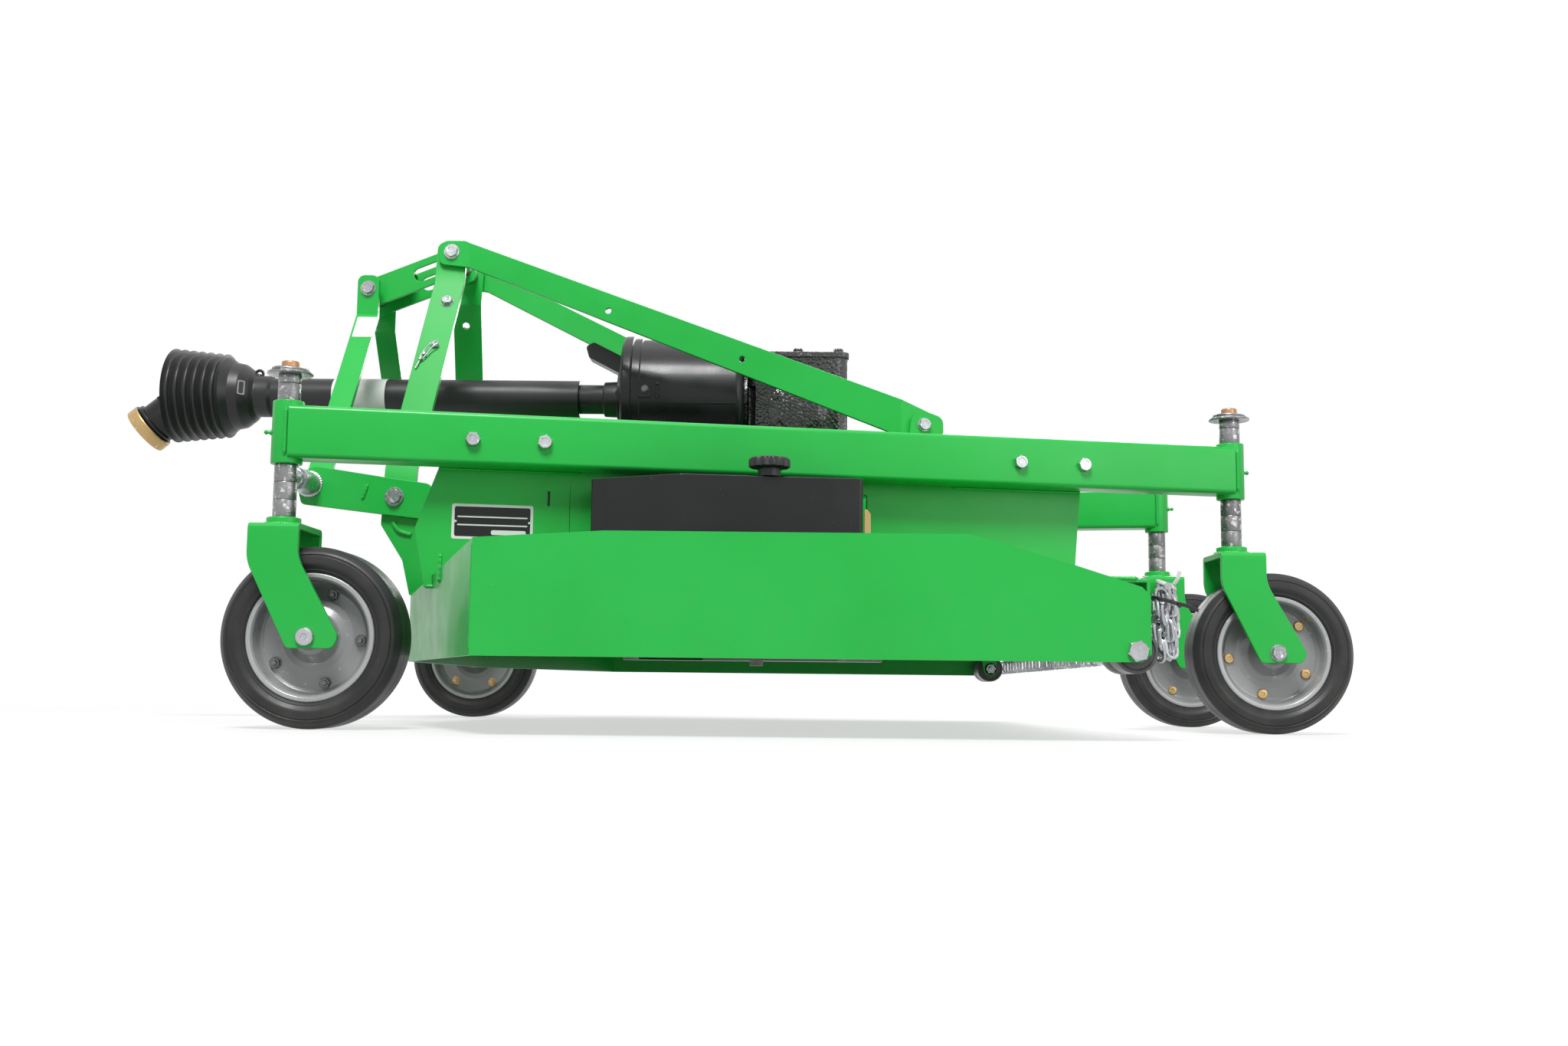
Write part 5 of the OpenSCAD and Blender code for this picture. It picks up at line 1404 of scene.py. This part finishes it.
@dataclass
class ChainCurtain:
    """Rod across the rear opening with rows of chain links."""

    half_w: float = 787
    rear: float = -1177
    rod_z: float = 197
    rod_r: float = 5
    strands: int = 36
    links: int = 4
    link_l: float = 30
    link_w: float = 18
    wire: float = 2.5

    def link(self) -> Array:
        """Grid of one upright link: a round wire carried round two half circles and two straights."""
        bend = self.link_w / 2 - self.wire
        rise = self.link_l / 2 - self.wire - bend
        angle = np.concatenate([np.linspace(0, np.pi, 6), np.linspace(np.pi, 2 * np.pi, 6)])
        lift = np.repeat([rise, -rise], 6)
        path = np.stack([bend * np.cos(angle), 0 * angle, bend * np.sin(angle) + lift], -1)
        out = np.stack([np.cos(angle), 0 * angle, np.sin(angle)], -1)
        around = np.linspace(0, 2 * np.pi, 6, endpoint=False)
        return (path[:, None] + self.wire * (np.cos(around)[None, :, None] * out[:, None]
                                             + np.sin(around)[None, :, None] * Y))

    def build(self, shop: Workshop) -> None:
        """Builds the rod, its end plates and every link, each a little turned from its neighbours."""
        reach = self.half_w - 20
        x = self.rear - 25
        rod = turned([[self.rod_r, -reach - 7.5], [self.rod_r, reach + 7.5]], 20).set_on((x, 0, self.rod_z), Y)
        plates = [side_plate(rounded([[x - 7, self.rod_z - 8, 5], [self.rear + 2, self.rod_z - 8, 0],
                                      [self.rear + 2, self.rod_z + 6, 0], [x - 7, self.rod_z + 6, 5]], 3),
                             s * (reach - 20), 6, 1) for s in (-1, 0, 1)]
        random = np.random.default_rng(7)
        grid = self.link()
        count = self.strands * self.links
        strand, row = np.divmod(np.arange(count), self.links)
        pitch = self.link_l - 4 * self.wire
        turn = np.where(row % 2 == 0, 0.5 * np.pi, 0.0) + random.normal(0, 0.16, count)
        tilt = random.normal(0, 0.05, count)
        c, s, a, b = np.cos(turn), np.sin(turn), np.cos(tilt), np.sin(tilt)
        points = grid.reshape(-1, 3)
        px = points[None, :, 0] * c[:, None] - points[None, :, 1] * s[:, None]
        py = points[None, :, 0] * s[:, None] + points[None, :, 1] * c[:, None]
        pz = points[None, :, 2] * a[:, None]
        place = np.stack([x + random.normal(0, 0.5, count), -reach + 2 * reach * strand / (self.strands - 1),
                          self.rod_z - 4 - self.link_l / 2 - row * pitch], -1)
        placed = np.stack([px + b[:, None] * points[None, :, 2], py, pz], -1) + place[:, None]
        shapes = [rod, *plates] + [skin(one.reshape(grid.shape), 0, True) for one in placed]
        shop.add("chain_curtain_body", shapes, [Finish.ZINC, Finish.GREEN], replaces=["chain_curtain"])
        self.bundle(shop, grid)

    def bundle(self, shop: Workshop, grid: Array) -> None:
        """Spare strands gathered at the left end: links on a spiral, held by a pale and a dark tie."""
        x, y = self.rear - 25, self.half_w - 24
        number = np.arange(30)
        turn = number * 2.4
        far = 3 + 9 * ((number * 0.618) % 1)
        place = np.stack([x + far * np.cos(turn), y + 0.7 * far * np.sin(turn), 188 - 72 * number / 29], -1)
        points = grid.reshape(-1, 3) * 1.12
        c, s = np.cos(turn * 1.7), np.sin(turn * 1.7)
        spread = np.stack([points[None, :, 0] * c[:, None] - points[None, :, 1] * s[:, None] + 0.12 * points[None, :, 2],
                           points[None, :, 0] * s[:, None] + points[None, :, 1] * c[:, None],
                           np.broadcast_to(points[:, 2], (30, len(points)))], -1) + place[:, None]
        shapes = [skin(one.reshape(grid.shape), 0, True) for one in spread]
        angle = np.linspace(0, 2 * np.pi, 40, endpoint=False)
        band = rounded([[-0.8, -2.4, 0.5], [0.8, -2.4, 0.5], [0.8, 2.4, 0.5], [-0.8, 2.4, 0.5]], 2)
        for z, r, number_ in ((199, 12, 1), (178, 19, 2)):
            loop = np.stack([x + r * np.cos(angle), y + 0.8 * r * np.sin(angle), z + 5 * np.cos(angle)], -1)
            shapes.append(carried(loop, band, Z, number_, True))
        tail = smooth_path([[x - 12, y + 14, 175], [x - 22, y + 17, 172], [x - 36, y + 19, 166]], 8)
        shapes.append(carried(tail, band, Z, 2))
        tip = smooth_path([[x - 8, y + 9, 200], [x - 12, y + 12, 207], [x - 14, y + 14, 216]], 6)
        shapes.append(carried(tip, band, X, 1))
        shop.add("chain_bundle", shapes, [Finish.ZINC, Finish.TIE, Finish.PLASTIC])


@dataclass
class Caster:
    """One caster: fork, stem with its spacers, rim and tyre."""

    chassis: Chassis
    name: str
    x: float
    y: float
    round_head: bool
    nut: Finish
    first_nut: float
    trail: float = 54.5
    wheel_r: float = 127
    tyre_w: float = 82
    rim_r: float = 90
    gap: float = 94
    plate_t: float = 8
    crown_z: float = 285
    boss_h: float = 12
    spacer_r: float = 16
    spacer_h: float = 25.4
    washer_r: float = 32
    nut_circle: float = 65

    def fork(self) -> list[Shape]:
        """Bent fork: two legs, the crown with its rounded bends and the boss; the boss's weld is added in build."""
        half = self.gap / 2
        outer = half + self.plate_t
        front, back = 32, 32 - 71
        rows = [[front, self.crown_z - 12, 0], [front, 232, 60], [-28, self.wheel_r - 16, 8],
                [-92, self.wheel_r - 16, 10], [-100, self.wheel_r, 12], [back, 236, 60], [back, self.crown_z - 12, 0]]
        made = [side_plate(rounded(rows, 10), s * (half + self.plate_t / 2), self.plate_t) for s in (-1, 1)]
        z = self.crown_z
        bend = rounded([[-outer, z - 14, 0], [-outer, z, 9], [outer, z, 9], [outer, z - 14, 0], [half, z - 14, 0],
                        [half, z - 9, 3], [-half, z - 9, 3], [-half, z - 14, 0]], 6)
        grid = np.stack([np.column_stack([np.full(len(bend), x), bend]) for x in (back, front)])
        made.append(skin(grid))
        boss = rounded([[self.chassis.stem_r, z - 1, 0], [24, z - 1, 0], [24, z + self.boss_h, 2],
                        [self.chassis.stem_r, z + self.boss_h, 1]], 4)
        made.append(turned(boss, 48, 0, True))
        return made

    def stem(self) -> list[Shape]:
        """Stem with its stack of spacer rings, broad washer, cross pin and ring."""
        c = self.chassis
        r, h = self.spacer_r + 0.1, self.spacer_h
        made = []
        low = self.crown_z + self.boss_h
        for k in range(3):
            made.append(turned(rounded([[c.stem_r, low + k * h, 0], [r, low + k * h, 0.9],
                                        [r, low + (k + 1) * h - 0.2, 0.9], [c.stem_r, low + (k + 1) * h - 0.2, 0]], 2),
                               48, 0, True))
        high = c.bushing_z + c.bushing_h + 0.3
        for z0, z1 in ((high, high + h), (high + h, high + 1.5 * h)):
            made.append(turned(rounded([[c.stem_r, z0, 0], [r, z0, 0.9], [r, z1 - 0.2, 0.9], [c.stem_r, z1 - 0.2, 0]], 2),
                               48, 0, True))
        top = high + 1.5 * h
        made.append(turned(rounded([[c.stem_r, top, 0], [self.washer_r, top, 1.4], [self.washer_r, top + 4, 1.4],
                                    [c.stem_r, top + 4, 0]], 3), 64, 0, True))
        made.append(turned([[c.stem_r - 0.1, self.crown_z - 4], [c.stem_r - 0.1, top + 4]], 40, 0))
        made.append(turned(rounded([[0.5, top + 3, 0], [c.stem_r, top + 3, 0], [c.stem_r, top + 20, 2.5],
                                    [0.5, top + 20, 0]], 4)[1:], 40, 1))
        angle = np.linspace(0, 2 * np.pi, 48, endpoint=False)
        loop = np.stack([24 * np.cos(angle), 24 * np.sin(angle), top + 7 + 0.8 * np.sin(2 * angle)], -1)
        made.append(carried(loop, circle(2.2, 10), Z, 0, True))
        made.append(turned([[2, -26], [2.6, -25], [2.6, 25], [2, 26]], 16).set_on((0, 0, top + 8), X))
        return made

    def wheel_shape(self, rows: Array, count: int, finish: int = 0) -> Shape:
        """Turns a closed profile of radius and width round the wheel's axle."""
        return turned(rows, count, finish, True).set_on((self.x - self.trail, self.y, self.wheel_r), Y)

    def tyre(self) -> Shape:
        """Smooth tyre with rounded shoulders, a bead ring and a thin mould line on each side."""
        half, r, rim = self.tyre_w / 2, self.wheel_r, self.rim_r
        side = [[rim - 6, 26, 0], [rim, 31, 0], [rim, 33.6, 1.5], [rim + 3.5, 36.8, 1.5], [rim + 5, 36.6, 1],
                [rim + 12, half, 9], [r - 14, half - 0.8, 1], [r - 12.8, half - 2.6, 0.5], [r - 11.4, half - 1.6, 1],
                [r - 8, half - 3, 7], [r, half - 13, 9]]
        other = [[p[0], -p[1], p[2]] for p in side[::-1]]
        middle = [[r, 1, 0], [r - 0.35, 0.5, 0], [r - 0.35, -0.5, 0], [r, -1, 0]]
        return self.wheel_shape(rounded(side + middle + other, 5), 112)

    def rim(self) -> list[Shape]:
        """Pressed rim: rolled flange, well, dished disc and the hub's cone, with five bolts through it; the disc is in
        a darker grey as painted shade and the flange in a lighter grey as a painted highlight.
        """
        hub = self.gap / 2 - 3
        side = [[8.3, hub, 0], [15.5, hub, 1.5], [17, hub - 3, 1], [17, 33, 3], [24, 30, 6], [36, 13, 10],
                [46, 8, 8], [54, 6.5, 5], [72, 7, 6], [80, 12, 3]]
        lip = [[76, 9, 2], [78.5, 14, 6], [80.5, 31, 2.5], [83.5, 34.6, 2], [88.5, 34.8, 2], [90, 33.4, 1],
               [90, 31, 0.5], [84, 26, 2], [82.5, 8, 3]]
        made = []
        # The disc takes the darker grey as painted shade and the flange the lighter grey as a painted highlight.
        for rows, number in ((side, 0), (lip, 2)):
            other = [[p[0], -p[1], p[2]] for p in rows[::-1]]
            made.append(self.wheel_shape(rounded(rows + other, 4), 96, number))
        at = np.array([self.x - self.trail, self.y, self.wheel_r])
        for s in (-1, 1):
            for k in range(5):
                angle = math.radians(72 * k + self.first_nut)
                seat = at + (self.nut_circle * math.cos(angle), s * 6.4, self.nut_circle * math.sin(angle))
                made += (HexBolt(13, 5.5, 9, 1.2, 4).shapes(seat, (0, s, 0), 1, 23 * k) if self.round_head
                         else ButtonHead(8, 4.5).shapes(seat, (0, s, 0), 1))
        return made

    def build(self, shop: Workshop) -> None:
        """Builds the caster in its place."""
        at = np.array([self.x, self.y, 0])
        body, wheel = f"caster_{self.name}", f"wheel_{self.name}"
        shop.add(f"fork_{self.name}_body", [s.moved(at) for s in self.fork()], [Finish.GREEN], body,
                 [f"fork_{self.name}"], bevel=1.1)
        z = self.crown_z
        beads = [ring_weld(at + (0, 0, z + 1), Z, 25, 3.4)]
        shop.add(f"fork_welds_{self.name}", beads, [Finish.GREEN], body)
        shop.add(f"stem_{self.name}", [s.moved(at) for s in self.stem()], [Finish.GALVANISED, Finish.COPPER], body)
        axle_at = at + (-self.trail, 0, self.wheel_r)
        reach = self.gap / 2 + self.plate_t
        axle = [turned([[8, -reach - 1], [8, reach + 1]], 32).set_on(axle_at, Y)]
        for s in (-1, 1):
            seat = axle_at + (0, s * reach, 0)
            axle += (ButtonHead(13, 6.5).shapes(seat, (0, s, 0)) if self.round_head
                     else HexBolt(21, 6, 13, 1.4).shapes(seat, (0, s, 0), 0, 11))
        shop.add(f"axle_{self.name}", axle, [Finish.ZINC], body)
        shop.add(f"tyre_{self.name}_body", [self.tyre()], [Finish.TYRE], wheel, [f"tyre_{self.name}"])
        shop.add(f"rim_{self.name}_body", self.rim(), [Finish.RIM, self.nut, Finish.LIP], wheel, [f"rim_{self.name}"])


@dataclass
class Studio:
    """White studio with a pale floor, soft lights and the photograph's camera."""

    focal_px: float = 2027.06
    camera_mm: tuple[float, float, float] = (-725.02, 2748.14, 57.97)
    yaw: float = 0.36
    pitch: float = 6.22
    roll: float = 0.60
    sensor: float = 36.0

    def camera(self) -> None:
        """Camera at the photograph's place, turned by yaw, pitch and roll."""
        data = bpy.data.cameras.new("photo_camera")
        data.sensor_width = self.sensor
        data.lens = self.sensor * self.focal_px / PHOTO_SIZE[0]
        data.clip_start = 0.02
        camera = bpy.data.objects.new("photo_camera", data)
        yaw, pitch, roll = (math.radians(v) for v in (self.yaw, self.pitch, self.roll))
        ahead = Vector((math.sin(yaw) * math.cos(pitch), -math.cos(yaw) * math.cos(pitch), math.sin(pitch)))
        right = ahead.cross(Vector((0, 0, 1))).normalized()
        up = right.cross(ahead)
        across = right * math.cos(roll) + up * math.sin(roll)
        above = up * math.cos(roll) - right * math.sin(roll)
        turn = Matrix((across, above, -ahead)).transposed().to_4x4()
        place = (Vector(self.camera_mm) + Vector((STEM_X, 0, 0))) * MM
        camera.matrix_world = Matrix.Translation(place) @ turn
        bpy.context.scene.collection.objects.link(camera)
        bpy.context.scene.camera = camera

    @staticmethod
    def seen(tree: bpy.types.NodeTree) -> bpy.types.NodeSocket:
        """1 for rays from the camera, off gloss and through glass, 0 for those that light the object."""
        path = tree.nodes.new("ShaderNodeLightPath")
        total = path.outputs["Is Camera Ray"]
        for label in ("Is Glossy Ray", "Is Transmission Ray"):
            add = tree.nodes.new("ShaderNodeMath")
            add.operation = "MAXIMUM"
            tree.links.new(total, add.inputs[0])
            tree.links.new(path.outputs[label], add.inputs[1])
            total = add.outputs[0]
        return total

    def world(self) -> None:
        """Plain world: white where it is seen, dimmer as a lamp."""
        world = bpy.data.worlds.new("studio_air")
        bpy.context.scene.world = world
        world.use_nodes = True
        tree = world.node_tree
        plain = tree.nodes["Background"]
        plain.inputs["Color"].default_value = (1, 1, 1, 1)
        strength = tree.nodes.new("ShaderNodeMapRange")
        strength.inputs["To Min"].default_value = 0.22
        strength.inputs["To Max"].default_value = 1.0
        tree.links.new(self.seen(tree), strength.inputs["Value"])
        tree.links.new(strength.outputs["Result"], plain.inputs["Strength"])

    def floor(self) -> None:
        """Round pale floor that keeps the shadow near the mower and fades to white further out."""
        mesh = bpy.data.meshes.new("studio_floor")
        angle = np.linspace(0, 2 * np.pi, 96, endpoint=False)
        rim = np.stack([14 * np.cos(angle), 14 * np.sin(angle), 0 * angle], -1)
        mesh.from_pydata(rim, [], [tuple(range(96))])
        floor = bpy.data.objects.new("studio_floor", mesh)
        material = bpy.data.materials.new("pale_floor")
        material.use_nodes = True
        tree = material.node_tree
        shader = tree.nodes["Principled BSDF"]
        tone = tree.nodes.new("ShaderNodeMapRange")
        tone.inputs["To Min"].default_value = 0.42
        tone.inputs["To Max"].default_value = 0.86
        tree.links.new(self.seen(tree), tone.inputs["Value"])
        tree.links.new(tone.outputs["Result"], shader.inputs["Base Color"])
        shader.inputs["Roughness"].default_value = 0.55
        shader.inputs["Specular IOR Level"].default_value = 0.2
        white = tree.nodes.new("ShaderNodeEmission")
        length = tree.nodes.new("ShaderNodeVectorMath")
        length.operation = "LENGTH"
        tree.links.new(tree.nodes.new("ShaderNodeTexCoord").outputs["Object"], length.inputs[0])
        fade = tree.nodes.new("ShaderNodeMapRange")
        fade.interpolation_type = "SMOOTHSTEP"
        fade.inputs["To Min"].default_value = 0.6
        fade.inputs["From Min"].default_value = 1.2
        fade.inputs["From Max"].default_value = 2.6
        tree.links.new(length.outputs["Value"], fade.inputs["Value"])
        gate = tree.nodes.new("ShaderNodeMath")
        gate.operation = "MULTIPLY"
        tree.links.new(fade.outputs["Result"], gate.inputs[0])
        tree.links.new(self.seen(tree), gate.inputs[1])
        mix = tree.nodes.new("ShaderNodeMixShader")
        tree.links.new(gate.outputs[0], mix.inputs[0])
        tree.links.new(shader.outputs[0], mix.inputs[1])
        tree.links.new(white.outputs[0], mix.inputs[2])
        tree.links.new(mix.outputs[0], tree.nodes["Material Output"].inputs["Surface"])
        mesh.materials.append(material)
        bpy.context.scene.collection.objects.link(floor)

    @staticmethod
    def lamp(name: str, place: Sequence[float], size: float, watts: float) -> None:
        """Square soft box at a place, aimed at the mower's middle."""
        data = bpy.data.lights.new(name, "AREA")
        data.size = size
        data.energy = watts
        lamp = bpy.data.objects.new(name, data)
        at = Vector(place)
        aim = Vector((0, 0, 0.4)) - at
        lamp.matrix_world = Matrix.Translation(at) @ aim.to_track_quat("-Z", "Y").to_matrix().to_4x4()
        bpy.context.scene.collection.objects.link(lamp)

    def build(self) -> None:
        """Sets up camera, floor, lights and world."""
        self.camera()
        self.world()
        self.floor()
        self.lamp("key_box", (0.4, 4.4, 5.9), 2.2, 500)
        self.lamp("fill_box", (-2.8, 2.6, 1.4), 2.0, 24)
        self.lamp("top_box", (0.0, -0.4, 3.6), 2.6, 14)
        self.lamp("back_box", (-1.0, -3.6, 2.0), 2.0, 85)
        bpy.context.scene.view_settings.view_transform = "Standard"


def casters(chassis: Chassis) -> list[Caster]:
    """The four casters in their places; the front left one has dark nuts, the others brass-coloured ones."""
    front, rear, span = chassis.front_track / 2, chassis.rear_track / 2, chassis.caster_span
    return [Caster(chassis, "front_left", 0, front, True, Finish.NUT, 39),
            Caster(chassis, "front_right", 0, -front, True, Finish.GOLD, 20),
            Caster(chassis, "rear_left", -span, rear, False, Finish.GOLD, 65),
            Caster(chassis, "rear_right", -span, -rear, False, Finish.GOLD, 10)]


def main() -> None:
    """Builds the studio and every sub-assembly in order."""
    logging.basicConfig(level=logging.INFO, format="%(message)s")
    shop = Workshop(frame)
    chassis = Chassis()
    Studio().build()
    for part in (SideBeams(chassis), Deck(chassis), Hitch(), Driveline(), Gearbox(), BeltDrive(), ChainCurtain(),
                 *casters(chassis)):
        part.build(shop)
        log.info("built %s", type(part).__name__)


if __name__ == "__main__":
    main()
